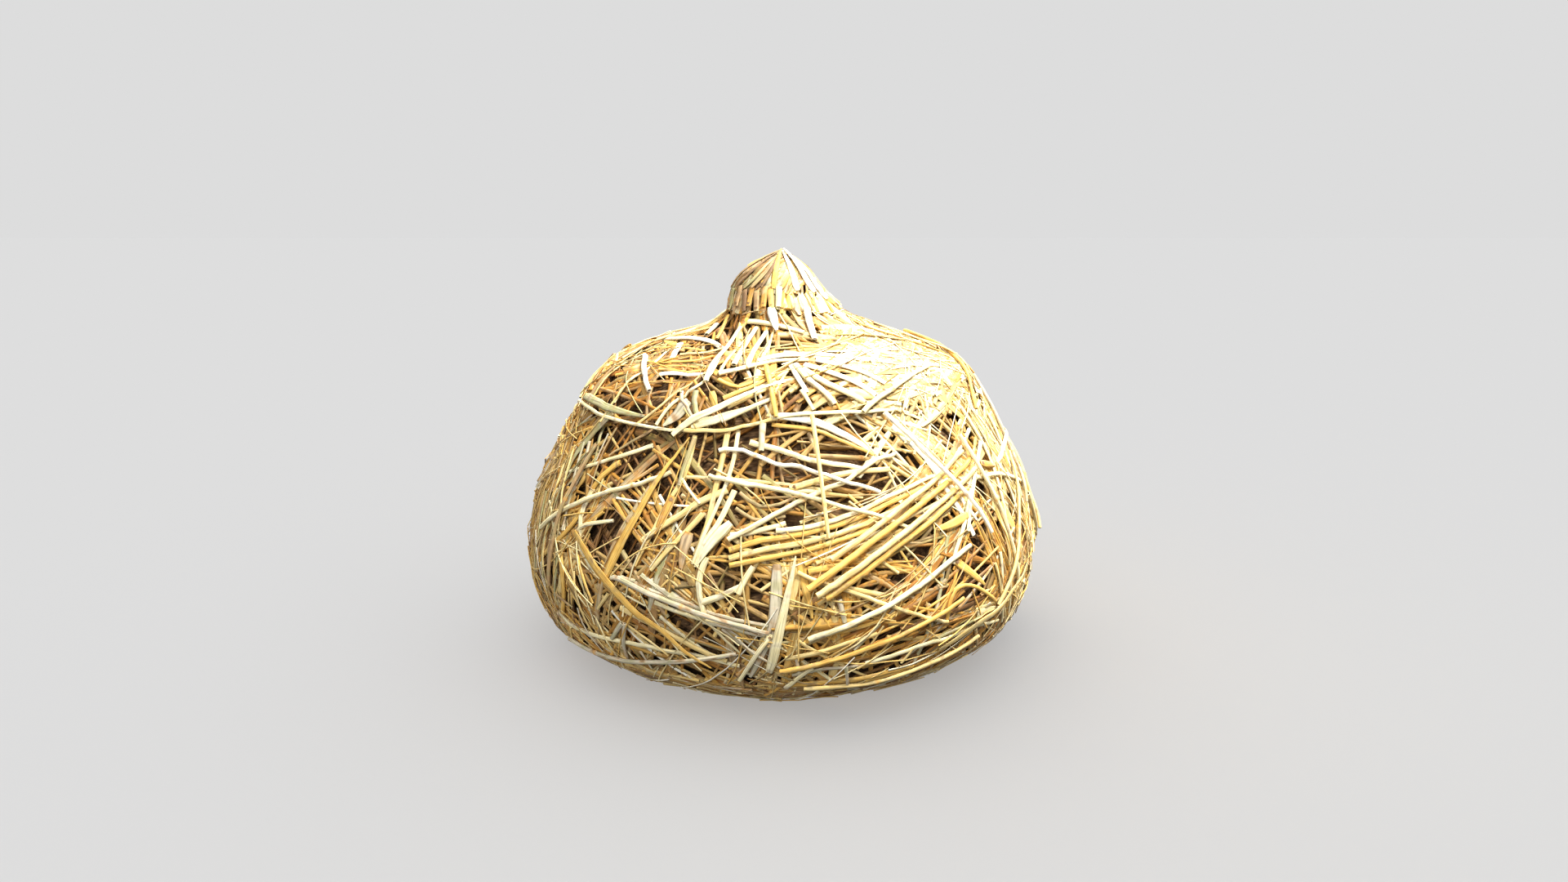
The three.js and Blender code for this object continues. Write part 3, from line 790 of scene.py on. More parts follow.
packedLook = {
    "turn": (0.5, 0.7, 0.3), "scale": (60, 900, 420), "detail": 3.0, "distortion": 0.4,
    # The dark browns of the packed hay are painted shade
    "colours": [(0.35, "gap"), (0.6, "umber"), (0.78, "tan")], "roughness": 0.9,
    "bump": 0.9, "bumpHeight": 2 * mm, "shine": 0.15,
}


def stemMaterial(name, look):
    material = bpy.data.materials.new(name)
    wire = freshWiring(material)

    def read(key):
        return wire.add("ShaderNodeAttribute", attribute_name=key).outputs["Fac"]

    def noise(at, scale, detail, roughness):
        links = {"Vector": at, "Scale": scale, "Detail": detail, "Roughness": roughness}
        return wire.add("ShaderNodeTexNoise", links, noise_dimensions="2D").outputs["Fac"]

    place = wire.add("ShaderNodeUVMap", uv_map="StemMap").outputs["UV"]
    stretched = wire.add("ShaderNodeMapping", {"Vector": place, "Scale": look["streakScale"]})
    streak = noise(stretched.outputs["Vector"], *look["streakNoise"])
    blotch = noise(place, *look["blotchNoise"])
    umber, amber = ((*hayColours[colour], 1) for colour in ("umber", "amber"))

    # Each stem's own colour drifts along it; then streaks, dirt, the joint, painted shade by its depth and
    # painted shade in the open ends
    drift = wire.rescale(blotch, *look["driftRange"], (-look["drift"], look["drift"]))
    tone = wire.math("ADD", read("tone"), drift, use_clamp=True)
    streaks = wire.ramp(streak, look["streakShades"])
    colour = wire.mix(wire.ramp(tone, look["tones"]), streaks, 1.0, "MULTIPLY")
    dirt = wire.math("MULTIPLY", wire.ramp(blotch, look["dirtPlaces"]), look["dirt"])
    colour = wire.mix(colour, umber, dirt)
    colour = wire.mix(colour, amber, wire.math("MULTIPLY", read("joint"), look["joint"]))
    colour = wire.mix(colour, wire.ramp(read("depth"), look["depthShade"]), 1.0, "MULTIPLY")
    # Painted shade inside the open ends, darkest at the bottom of each well
    colour = wire.mix(colour, umber, wire.rescale(read("mouth"), *look["mouthShadeRange"]))
    roughness = wire.rescale(streak, 0.0, 1.0, look["roughness"])
    wire.surface(colour, roughness, streak, look["bump"], look["bumpHeight"], look["shine"])
    return material


def packedShadeMaterial(look):
    material = bpy.data.materials.new("hay painted dark as shade in the gaps")
    wire = freshWiring(material)
    place = wire.add("ShaderNodeTexCoord").outputs["Object"]
    tilted = wire.add("ShaderNodeMapping", {
        "Vector": place, "Rotation": look["turn"], "Scale": look["scale"],
    })
    fibre = wire.add("ShaderNodeTexNoise", {
        "Vector": tilted.outputs["Vector"], "Scale": 1.0, "Detail": look["detail"],
        "Distortion": look["distortion"],
    }).outputs["Fac"]
    colour = wire.ramp(fibre, look["colours"])
    wire.surface(colour, look["roughness"], fibre, look["bump"], look["bumpHeight"], look["shine"])
    return material


# The packed hay that shows in the gaps, built in place of the imported heap, cap and peak; its dark browns
# are painted shade

packed = {
    "sides": 200, "rings": 130, "sink": 0.8 * mm, "sinkShare": 0.2, "rough": 1.1 * mm, "roughShare": 0.15,
    "waves": (9, 17, 31), "underTip": 3 * mm, "tip": 1 * mm, "floorGap": 1.0 * mm,
}


def makePacked(material):
    count = packed["sides"]
    bearings = np.linspace(-math.pi, math.pi, count, endpoint=False)
    b, a = np.meshgrid(bearings, np.linspace(0, arcEnd - packed["underTip"], packed["rings"]))
    rough = sum(
        np.sin(k * b + 60 * k * a / 3 + k) * np.sin(140 * a + k * 2.1 * b) for k in packed["waves"]) / 3
    depth = matDepth(b, a)
    sunk = -depth - np.minimum(packed["sink"], packed["sinkShare"] * depth)
    sunk = sunk + np.minimum(packed["rough"], packed["roughShare"] * depth) * rough
    points = surfaceAt(b.ravel(), a.ravel(), sunk.ravel())[0]
    points[:, 2] = np.maximum(points[:, 2], packed["floorGap"])
    faces = []
    for low in range(0, (packed["rings"] - 1) * count, count):
        high = low + count
        faces += [(low + i, low + (i + 1) % count, high + (i + 1) % count, high + i) for i in range(count)]
    top, tip, base = len(points) - count, len(points), len(points) + 1
    tipPoint = [axisX, axisY, points[-count:, 2].mean() + packed["tip"]]
    points = np.vstack([points, tipPoint, [axisX, axisY, packed["floorGap"]]])
    faces += [(top + i, top + (i + 1) % count, tip) for i in range(count)]
    faces += [((i + 1) % count, i, base) for i in range(count)]
    mesh = bpy.data.meshes.new("packed_hay")
    mesh.from_pydata(points.tolist(), [], faces)
    mesh.validate()
    mesh.polygons.foreach_set("use_smooth", np.ones(len(mesh.polygons), bool))
    mesh.materials.append(material)
    return addObject("packed_hay", mesh)


# The loose straws and blades, from the frame's own

loose = {
    "strawSides": 5, "bladeSides": 4, "bladeRoom": 0.8 * mm, "bladeThick": 0.6 * mm, "strawFlat": 0.8,
    "drop": 9 * mm, "slack": 1, "stiffness": 0.1, "ease": 9, "joint": (0.2, 0.8), "bladeTwist": 0.4,
    "bladeTaper": 0.85, "strawTaper": 0.2, "seed": 5,
}


def cadLine(name, sides):
    # The middles of a bent rod's rings, in order, and how far each ring reaches
    points = np.unique(nodePoints(name).round(6), axis=0)
    centred = points - points.mean(0)
    chord = np.linalg.svd(centred, full_matrices=False)[2][0]
    points = points[np.argsort(centred @ chord)]
    rings = [points[1 + i * sides:1 + (i + 1) * sides] for i in range((len(points) - 2) // sides)]
    rings[0], rings[-1] = points[:sides + 1], points[-sides - 1:]
    centres = np.array([ring.mean(0) for ring in rings])
    return centres, [np.linalg.norm(ring - centre, axis=1).max() for ring, centre in zip(rings, centres)]


def stepsAlong(points):
    return int(np.linalg.norm(np.diff(points, axis=0), axis=1).sum() / mat["step"]) + 1


cadStems = {}
underLoose = np.zeros((bearingCells, arcCells), bool)
for nodeName in sorted(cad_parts):
    if nodeName.startswith(("straw_", "blade_")):
        isBlade = nodeName.startswith("blade_")
        centres, reaches = cadLine(nodeName, loose["bladeSides" if isBlade else "strawSides"])
        b, a, lift = nearestPlace(smoothLine(centres, stepsAlong(centres)))
        wide = np.median(reaches)
        turn = np.arctan2(np.gradient(a), np.gradient(np.unwrap(b)) * radiusAt(b, a))
        cadStems[nodeName] = {
            "bearing": b, "arc": a, "lift": lift, "wide": wide, "turn": turn, "blade": isBlade,
        }
        column, row = cellsUnder(b, a, turn, wide)
        room = lift - (loose["bladeRoom"] if isBlade else wide)
        np.minimum.at(ceiling, (column, row), np.broadcast_to(room, column.shape))
        underLoose[column, row] = True
say(f"{len(cadStems)} loose pieces read from the frame")


# The forkfuls of hay

plainTones = {
    "straw": 5, "ivory": 3.5, "gold": 4, "tan": 2.2, "olive": 1.2, "ash": 1.4, "amber": 1.6, "white": 0.6,
}
base = {
    "length": (60 * mm, 130 * mm), "width": (2.4 * mm, 5.0 * mm), "flat": (0.4, 0.9), "bend": 2.2,
    "stiffness": 0.09, "press": 3 * mm, "shortest": 22 * mm, "spring": 0.0, "joints": 0.2, "twist": 0.3,
    "taper": (0.05, 0.35), "jag": 0.0, "leaves": 0.14, "leafWidth": (5 * mm, 10 * mm), "tones": plainTones,
    "avoid": 0.6, "ease": 5, "openEnds": False,
}
# A set's depth is how little painted shade its stems get: 0 is darkest, 0.9 and over none
bedKinds = {
    "bed_stems": {
        **base, "seed": 90, "count": 1500, "depth": 0.14, "length": (30 * mm, 80 * mm),
        "width": (1.4 * mm, 3 * mm), "avoid": 0, "ease": 2, "joints": 0, "leaves": 0.05,
        "tones": {"umber": 4, "tan": 4, "olive": 2, "amber": 2, "straw": 1},
    },
}
heapBase = {**base, "stray": 34 * mm, "width": (1.8 * mm, 4.6 * mm)}
heapKinds = {
    "heap_stems_deep": {
        **heapBase, "seed": 101, "count": 1350, "depth": 0.14, "width": (2 * mm, 4.6 * mm), "avoid": 0.85,
    },
    "heap_stems_middle": {
        **heapBase, "seed": 102, "count": 1350, "depth": 0.5, "length": (60 * mm, 150 * mm), "avoid": 0.93,
    },
    "heap_stems_upper": {
        **heapBase, "seed": 103, "count": 480, "depth": 1.0, "length": (60 * mm, 180 * mm),
        "spring": 2 * mm, "joints": 0.5, "press": 3.5 * mm, "avoid": 0.97, "openEnds": True,
    },
}
capBase = {**base, "stray": 26 * mm, "jag": 0.8 * mm, "width": (2.6 * mm, 5.6 * mm)}
capKinds = {
    "cap_stems_deep": {
        **capBase, "seed": 104, "count": 620, "depth": 0.14, "length": (40 * mm, 100 * mm),
        "width": base["width"], "avoid": 0.8,
    },
    "cap_stems_middle": {
        **capBase, "seed": 105, "count": 520, "depth": 0.3, "length": (40 * mm, 110 * mm), "avoid": 0.9,
        "leaves": 0.25, "tones": {**plainTones, "tan": 4, "amber": 2.5, "umber": 2, "olive": 2},
    },
    "cap_stems_upper": {
        **capBase, "seed": 106, "count": 290, "depth": 1.0, "length": (50 * mm, 120 * mm),
        "spring": 1 * mm, "joints": 0.4, "avoid": 0.96, "leaves": 0.3, "openEnds": True,
    },
}
peakBase = {
    **base, "length": (30 * mm, 70 * mm), "width": (2.2 * mm, 4.4 * mm), "lean": 58, "leanSpread": 14,
    "jag": 1 * mm, "widest": 50 * mm, "shortest": 9 * mm, "stiffness": 0.03, "press": 5 * mm, "avoid": 0.0,
    "leaves": 0.2,
    "tones": {"straw": 4, "gold": 5, "tan": 5, "olive": 3, "amber": 3, "ivory": 2, "umber": 1.5},
}
peakKinds = {
    "peak_stems_deep": {**peakBase, "seed": 107, "count": 190, "depth": 0.3},
    "peak_stems_upper": {**peakBase, "seed": 108, "count": 150, "depth": 1.0, "width": (1.8 * mm, 3.4 * mm)},
}
collarKinds = {
    "peak_collar": {
        **peakBase, "seed": 109, "count": 170, "depth": 0.8, "press": 9 * mm, "length": (18 * mm, 26 * mm),
        "width": (2.6 * mm, 6.5 * mm), "lean": 88, "leanSpread": 9,
        "tones": {"straw": 3, "ivory": 2, "gold": 2, "tan": 3, "olive": 2, "amber": 2, "umber": 1},
    },
}
wispKind = {
    **base, "seed": 110, "count": 500, "depth": 1.0, "length": (30 * mm, 130 * mm),
    "width": (0.8 * mm, 1.8 * mm), "bend": 5, "stiffness": 0.03, "spring": 1.5 * mm, "joints": 0.0,
    "leaves": 0.0, "avoid": 0.9, "press": 1.5 * mm, "shortest": 15 * mm,
    "tones": {"straw": 4, "ivory": 4, "white": 2, "tan": 2, "olive": 1, "gold": 2},
}
capWispKind = {**wispKind, "seed": 160, "count": 120}
placing = {  # where the sets begin and end, and how far apart the rings of their stems are
    "underCap": 6 * mm, "capTop": 3 * mm, "peakFoot": -1 * mm, "peakTip": -2 * mm, "peakRoom": 3.2 * mm,
    "collarFoot": -3 * mm, "collarTop": 1 * mm, "wispTop": -1 * mm, "peakSpacing": 6 * mm,
    "strandSpacing": 7 * mm, "wispSpacing": 10 * mm, "looseSpacing": 6 * mm,
}
hem = {  # along the arc, from the hem
    "gap": (-5 * mm, -1 * mm), "gapTurns": (-50, -2), "gapWaves": 31, "gapBreaks": -0.75,
    # shade: painted shade in a band under the hem, strongest left of the front
    "shade": (-11 * mm, -1 * mm), "shadeStrength": 0.55, "shadeTurn": -32, "shadeWidth": 34,
    "groove": (-9 * mm, 8 * mm), "grooveDepth": 3.5 * mm, "lost": 0.9,
    "capFoot": -0.5 * mm, "brow": 22 * mm, "browRoom": 2 * mm,
}

stemNodes = stemTree()
stalkMaterial = stemMaterial("dry stalk", stalkLook)
leafMaterial = stemMaterial("dry leaf", leafLook)


def finishPiece(piece, slot, *nodes):
    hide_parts(*nodes)
    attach(piece, "root")


def level(arc):
    return lambda bearing: arc + 0 * bearing


def belowCap(lift):
    return lambda bearing: hemArc(bearing) + lift


def layPieces(kinds, low, high, *nodes, lobes=False, **shape):
    for name, kind in kinds.items():
        stems = laySet(kind, low, high, lobes)
        piece = makeStems(name, stems, stalkMaterial, openEnds=kind["openEnds"], **shape)
        finishPiece(piece, "packed_hay", *nodes)


def nearHem(low, high):
    return (arcHere > hemHere + low) & (arcHere < hemHere + high)


finishPiece(makePacked(packedShadeMaterial(packedLook)), "packed_hay", "heap", "cap", "peak")
say("packed hay")
layPieces(bedKinds, level(0), level(neckArc), "heap", "cap", sides=4)

# The heap's stems keep low under the hem; on the left the hem has a gap and painted shade under it
hemHere = hemArc(columns)[:, None]
hemShare = (1 - hem["lost"] * hemLost(columns))[:, None]
turnHere = (np.degrees(columns) + 180) % 360 - 180
inGap = (turnHere > hem["gapTurns"][0]) & (turnHere < hem["gapTurns"][1])
inGap &= np.sin(hem["gapWaves"] * columns + 2) > hem["gapBreaks"]
hollow |= nearHem(*hem["gap"]) & inGap[:, None]
hemPaintedShade = hem["shadeStrength"] * nearHem(*hem["shade"])
hemPaintedShade = hemPaintedShade * np.exp(-(((turnHere - hem["shadeTurn"]) / hem["shadeWidth"]) ** 2))[:, None]
np.maximum(paintedGapShade, hemPaintedShade, out=paintedGapShade)
groove = hem["grooveDepth"] * hemShare * nearHem(*hem["groove"])
ceiling -= groove
layPieces(heapKinds, level(0), belowCap(placing["underCap"]), "heap")

# The cap is a shelf on the heap's hay, with its own hay on it
ceiling += groove
onCap = (arcHere > hemHere + hem["capFoot"]) & (arcHere < neckArc)
ceiling += hem["browRoom"] * hemShare * (onCap & (arcHere < hemHere + hem["brow"]))
shelf = -matDepth(columns[:, None], arcHere) + mat["hemStep"] * hemShare
laidHeight[onCap] = np.maximum(laidHeight, shelf)[onCap]
layPieces(capKinds, hemArc, level(neckArc + placing["capTop"]), "cap", lobes=True)

ceiling[:, rowArcs > neckArc] += placing["peakRoom"]
peakFoot, peakTip = level(ringArc + placing["peakFoot"]), level(arcEnd + placing["peakTip"])
layPieces(peakKinds, peakFoot, peakTip, "peak", spacing=placing["peakSpacing"])
collarFoot, collarTop = level(neckArc + placing["collarFoot"]), level(ringArc + placing["collarTop"])
layPieces(collarKinds, collarFoot, collarTop, "peak", spacing=placing["peakSpacing"])

# The strands that the photograph sets apart, beside the loose straws of the frame

strandsInPhoto = {
    # colour, width in photo pixels, then x and y of each pixel that the strand passes
    "left": (
        ("ivory", 6, 797, 544, 762, 556, 725, 567, 690, 577),
        ("olive", 14, 750, 504, 722, 530, 703, 555, 688, 592), ("tan", 4, 795, 523, 770, 540, 744, 556),
        ("gold", 8, 757, 565, 738, 580, 720, 602, 700, 640, 675, 665, 657, 690),
        ("tan", 3, 752, 522, 740, 545, 730, 572, 722, 600),
        ("ash", 6, 720, 540, 712, 570, 700, 595, 690, 620, 688, 650),
        ("ivory", 9, 724, 598, 710, 625, 706, 658), ("ivory", 6, 702, 650, 716, 642, 748, 637),
        ("ivory", 12, 703, 652, 712, 680, 728, 704, 747, 725),
        ("straw", 7, 849, 532, 842, 565, 833, 588, 812, 622, 795, 655, 775, 692),
        ("straw", 10, 890, 600, 858, 613, 830, 632, 808, 645, 785, 662),
        ("straw", 8, 860, 629, 835, 655, 815, 675, 795, 698), ("amber", 16, 844, 652, 836, 672, 832, 698),
        ("amber", 13, 824, 608, 812, 632, 802, 654), ("ivory", 4, 835, 586, 845, 603, 857, 616),
        ("olive", 7, 850, 536, 838, 570, 831, 594), ("ash", 3, 742, 530, 735, 545, 728, 562),
    ),
    "edge": (
        ("tan", 4, 700, 515, 679, 575, 663, 640, 658, 700),
        ("straw", 4, 703, 545, 688, 600, 679, 660, 682, 740),
        ("straw", 5, 690, 560, 672, 620, 664, 690, 674, 740),
        ("tan", 3, 707, 510, 692, 560, 675, 640, 668, 700), ("ash", 4, 714, 540, 697, 600, 688, 650),
        ("gold", 9, 684, 675, 686, 700, 688, 730, 687, 752), ("olive", 4, 666, 600, 656, 650, 657, 700),
        ("tan", 4, 676, 560, 662, 610, 654, 660, 656, 700), ("ash", 4, 662, 688, 668, 718),
        ("straw", 3, 694, 670, 699, 710, 707, 745), ("gold", 5, 704, 680, 713, 715, 723, 740),
        ("straw", 4, 700, 700, 708, 745, 722, 775, 737, 795), ("olive", 5, 676, 640, 680, 690, 678, 735),
    ),
    "foot": (
        ("ivory", 7, 682, 750, 695, 765, 725, 778, 770, 789, 810, 798, 860, 808, 905, 818),
        ("straw", 9, 757, 745, 800, 770, 835, 788, 865, 804, 890, 812),
        ("ash", 9, 756, 708, 780, 718, 820, 735, 870, 757, 925, 773),
        ("ivory", 6, 800, 738, 830, 751, 870, 763, 935, 776),
        ("ash", 6, 790, 722, 835, 738, 880, 756, 940, 768), ("ash", 7, 745, 707, 760, 709, 775, 712),
        ("straw", 4, 766, 768, 790, 783, 818, 803), ("ash", 6, 764, 764, 763, 790, 767, 813),
        ("straw", 5, 742, 728, 729, 747), ("ash", 7, 761, 763, 748, 783),
        ("ash", 3, 706, 745, 716, 768, 738, 798), ("tan", 4, 822, 806, 800, 822),
        ("ash", 4, 782, 800, 796, 822), ("tan", 4, 680, 727, 701, 743),
        ("ivory", 9, 858, 738, 885, 729, 908, 718), ("ivory", 9, 903, 727, 912, 710, 922, 694),
        ("ash", 15, 951, 692, 950, 735, 945, 775, 932, 805, 918, 832),
        ("straw", 15, 974, 684, 973, 715, 966, 750, 958, 775), ("gold", 13, 980, 684, 987, 720, 995, 758),
        ("ivory", 9, 864, 682, 855, 715, 862, 757), ("tan", 4, 866, 702, 878, 722),
        ("ivory", 4, 868, 766, 888, 786, 905, 802), ("ash", 4, 883, 772, 905, 790, 930, 803),
        ("ash", 5, 860, 762, 895, 770, 935, 782), ("ivory", 7, 945, 780, 928, 800, 905, 835),
        ("ash", 4, 900, 780, 925, 802, 955, 822), ("straw", 8, 990, 712, 1020, 716, 1055, 724, 1080, 728),
        ("ivory", 7, 1022, 711, 1045, 702), ("gold", 9, 990, 700, 1030, 692, 1068, 680),
        ("gold", 7, 985, 790, 1020, 778, 1060, 768, 1115, 747),
        ("straw", 5, 975, 784, 1005, 803, 1038, 820, 1075, 836),
        ("straw", 7, 962, 808, 1000, 800, 1040, 788, 1075, 778),
        ("ash", 5, 970, 830, 1010, 821, 1045, 818, 1075, 813),
        ("gold", 9, 968, 841, 1020, 839, 1070, 829, 1120, 817), ("ivory", 7, 962, 843, 978, 830, 996, 819),
        ("ash", 5, 1036, 817, 1038, 838), ("ash", 5, 975, 803, 978, 824), ("ash", 8, 1028, 735, 1036, 764),
        ("straw", 5, 1062, 679, 1085, 690, 1102, 702),
        ("gold", 6, 1163, 762, 1167, 737, 1178, 719, 1200, 720, 1224, 738),
        ("ivory", 11, 1200, 753, 1215, 748, 1233, 747), ("olive", 5, 1150, 783, 1180, 769, 1205, 754),
        ("ivory", 6, 1060, 813, 1100, 803, 1140, 788, 1175, 779, 1200, 768, 1225, 761),
        ("gold", 7, 1060, 834, 1100, 825, 1140, 813, 1180, 797),
        ("ivory", 5, 1228, 676, 1231, 720, 1229, 762), ("ivory", 5, 1238, 666, 1242, 710, 1237, 757),
        ("straw", 4, 1222, 690, 1230, 730, 1233, 766), ("straw", 5, 1252, 690, 1248, 720, 1241, 752),
        ("tan", 5, 1264, 690, 1260, 715, 1250, 743), ("straw", 5, 1256, 640, 1262, 670, 1260, 700),
        ("tan", 5, 1197, 772, 1199, 792), ("gold", 12, 1172, 686, 1190, 700, 1207, 716),
        ("tan", 4, 1103, 784, 1122, 771, 1142, 755), ("straw", 4, 1104, 813, 1118, 795),
    ),
    "middle": (
        ("straw", 8, 890, 526, 884, 560, 875, 600, 866, 640, 850, 680),
        ("ivory", 6, 903, 526, 897, 565, 884, 605, 862, 655, 848, 690),
        ("ivory", 8, 899, 600, 880, 640, 862, 665, 852, 694), ("ivory", 14, 895, 640, 868, 668, 852, 692),
        ("ivory", 8, 918, 541, 960, 552, 1000, 563, 1068, 574),
        ("ivory", 7, 898, 587, 925, 593, 960, 598, 1005, 602),
        ("straw", 9, 968, 597, 985, 592, 1020, 582, 1050, 577, 1090, 574),
        ("white", 12, 950, 508, 1000, 515, 1040, 534, 1075, 555),
        ("gold", 6, 945, 518, 995, 524, 1030, 538, 1070, 556),
        ("tan", 5, 905, 603, 930, 619, 955, 616, 972, 609), ("tan", 5, 900, 622, 928, 636, 962, 631),
        ("straw", 5, 980, 640, 1005, 630, 1030, 617), ("ash", 9, 934, 518, 932, 552),
        ("ivory", 8, 893, 655, 930, 649, 962, 640),
        ("gold", 8, 892, 674, 930, 662, 980, 654, 1040, 638, 1100, 611, 1180, 574),
        ("straw", 8, 892, 684, 935, 673, 985, 664, 1050, 645, 1110, 617, 1186, 583),
        ("gold", 7, 893, 693, 938, 684, 990, 673, 1030, 661, 1075, 645),
        ("ivory", 7, 950, 650, 1000, 643, 1050, 626, 1100, 602, 1150, 580),
    ),
    "right": (
        ("ivory", 5, 1055, 662, 1090, 645, 1130, 625, 1166, 606),
        ("straw", 5, 1000, 690, 1045, 672, 1085, 656, 1150, 630),
        ("white", 14, 1095, 520, 1130, 550, 1165, 590, 1200, 636),
        ("white", 9, 1130, 545, 1170, 610, 1195, 655), ("ivory", 7, 1194, 588, 1182, 640, 1170, 690),
        ("ivory", 7, 1203, 540, 1192, 600, 1186, 650),
        ("ivory", 6, 1180, 498, 1215, 560, 1236, 640, 1245, 700),
        ("ivory", 6, 1212, 504, 1238, 560, 1258, 630, 1265, 680),
        ("straw", 8, 1208, 575, 1230, 640, 1240, 692), ("ivory", 5, 1224, 560, 1248, 620, 1262, 662),
        ("ivory", 6, 1196, 584, 1230, 580, 1258, 592), ("gold", 13, 1185, 630, 1165, 642, 1148, 648),
        ("amber", 11, 1202, 566, 1220, 570),
    ),
    "cap": (
        ("white", 9, 812, 412, 845, 411, 870, 415, 884, 420), ("white", 8, 806, 456, 830, 453, 862, 455),
        ("white", 10, 832, 418, 822, 436), ("ivory", 5, 752, 492, 770, 464, 795, 445, 818, 425),
        ("straw", 4, 735, 517, 757, 485, 772, 464), ("straw", 4, 778, 520, 805, 500, 828, 478, 868, 452),
        ("ivory", 5, 803, 520, 825, 492, 845, 475, 868, 458, 882, 432, 897, 413),
        ("gold", 5, 808, 441, 845, 438, 872, 430), ("gold", 5, 806, 449, 840, 451, 868, 443),
        ("straw", 5, 832, 431, 860, 428, 884, 421), ("straw", 5, 760, 436, 790, 420, 830, 408, 872, 397),
        ("tan", 4, 722, 484, 745, 452, 775, 430, 802, 416),
        ("straw", 4, 718, 502, 737, 467, 765, 441, 800, 424), ("tan", 5, 712, 508, 728, 478, 752, 450),
        ("ivory", 5, 708, 490, 735, 507, 770, 517, 810, 524, 845, 528),
        ("straw", 6, 838, 527, 880, 527, 915, 521, 952, 511),
        ("ivory", 6, 945, 511, 990, 506, 1050, 503, 1100, 500), ("olive", 11, 716, 484, 748, 500, 790, 510),
        ("ash", 18, 843, 490, 829, 508, 812, 522), ("ivory", 14, 846, 521, 882, 511, 932, 496),
        ("ash", 5, 835, 480, 840, 495, 848, 512), ("olive", 8, 852, 478, 850, 495, 856, 514),
        ("gold", 11, 871, 478, 877, 503), ("ivory", 7, 864, 466, 872, 445, 886, 428, 898, 410, 906, 398),
        ("straw", 5, 880, 454, 890, 437, 905, 420, 921, 404), ("ivory", 8, 898, 444, 911, 422, 926, 400),
        ("ivory", 8, 914, 446, 924, 425, 938, 404), ("ivory", 9, 880, 456, 912, 449, 950, 440, 990, 438),
        ("gold", 6, 879, 462, 905, 471, 942, 454), ("gold", 7, 885, 486, 915, 473, 948, 456),
        ("straw", 7, 890, 497, 920, 482, 948, 468), ("ivory", 7, 884, 516, 912, 503, 948, 486),
        ("tan", 4, 953, 478, 958, 505), ("white", 8, 968, 443, 977, 460, 988, 480),
        ("ivory", 6, 981, 478, 996, 502), ("ivory", 9, 974, 445, 990, 463, 1010, 480, 1022, 494),
        ("ivory", 10, 983, 450, 1010, 467, 1040, 482, 1064, 493),
        ("white", 10, 985, 443, 1015, 452, 1045, 465, 1077, 486),
        ("white", 9, 1000, 438, 1050, 450, 1085, 468),
        ("white", 13, 928, 441, 965, 433, 1000, 430, 1055, 436),
    ),
    "collar": (
        ("olive", 8, 900, 354, 893, 379), ("tan", 8, 908, 351, 902, 376), ("umber", 8, 913, 356, 911, 381),
        ("amber", 8, 922, 353, 917, 376), ("tan", 9, 927, 357, 926, 381), ("amber", 9, 937, 352, 935, 377),
        ("gold", 9, 943, 356, 945, 379), ("ivory", 9, 954, 352, 953, 377),
    ),
    "neck": (
        ("ivory", 9, 916, 391, 950, 396, 985, 405), ("white", 13, 944, 377, 951, 404),
        ("white", 10, 988, 377, 998, 412), ("ash", 9, 884, 379, 876, 394, 864, 407),
        ("gold", 6, 889, 383, 884, 398, 876, 411),
    ),
    "peak": (
        ("tan", 6, 896, 352, 911, 332, 934, 317, 955, 307), ("umber", 5, 903, 354, 922, 333, 953, 309),
        ("olive", 6, 912, 353, 929, 336, 954, 312), ("tan", 7, 922, 354, 938, 334, 955, 311),
        ("umber", 5, 934, 354, 944, 334, 956, 310), ("gold", 8, 947, 354, 951, 328, 957, 307),
        ("white", 9, 976, 356, 969, 332, 958, 308), ("white", 10, 997, 358, 981, 334, 959, 308),
        ("white", 10, 1012, 366, 989, 337, 960, 309),
    ),
}
strand = {
    "room": 3.5 * mm, "leafFrom": 10, "leafThick": 0.6 * mm, "leafTwist": 0.3, "leafTaper": 0.75,
    "taper": 0.25, "flat": 0.5, "flatter": 0.35, "laid": {"stiffness": 0.12, "press": 1, "ease": 9},
}


def strandStem(part, colour, pixelWidth, *pixels):
    places = [photoPlace(x, y) for x, y in zip(pixels[::2], pixels[1::2])]
    places = [place for place in places if place is not None]
    if len(places) < 2:
        return None
    places = np.array(places)
    b, a, _ = nearestPlace(smoothLine(places, min(max(stepsAlong(places), 4), mat["longest"])))
    b = np.unwrap(b)
    wide = pixelWidth * np.linalg.norm(places.mean(0) - cameraPlace) / focalPixels / 2
    isLeaf = pixelWidth > strand["leafFrom"] or part == "peak"
    turn = np.arctan2(np.gradient(a), np.gradient(b) * radiusAt(b, a))
    flat = strand["flatter"] if colour == "white" or part == "collar" else strand["flat"]
    stem = layStem(b, a, turn, wide, strand["leafThick"] if isLeaf else wide * flat, strand["laid"])
    stem.update({
        "tone": toneOf[colour], "depth": 1.0, "spring": 0.0, "joint": None,
        "twist": strand["leafTwist"] if isLeaf else 0.0, "taper": strand["leafTaper" if isLeaf else "taper"],
    })
    return stem


ceiling[~underLoose] += strand["room"]
stems = [strandStem(part, *row) for part, rows in strandsInPhoto.items() for row in rows]
stems = [stem for stem in stems if stem]
piece = makeStems(
    "front_strands", stems, stalkMaterial, sides=8, spacing=placing["strandSpacing"], openEnds=True)
finishPiece(piece, "packed_hay", "heap", "cap")

stems = laySet(wispKind, level(0), belowCap(placing["wispTop"])) + laySet(capWispKind, hemArc, level(neckArc))
piece = makeStems("wisps", stems, stalkMaterial, sides=4, spacing=placing["wispSpacing"])
finishPiece(piece, "packed_hay", "heap", "cap")

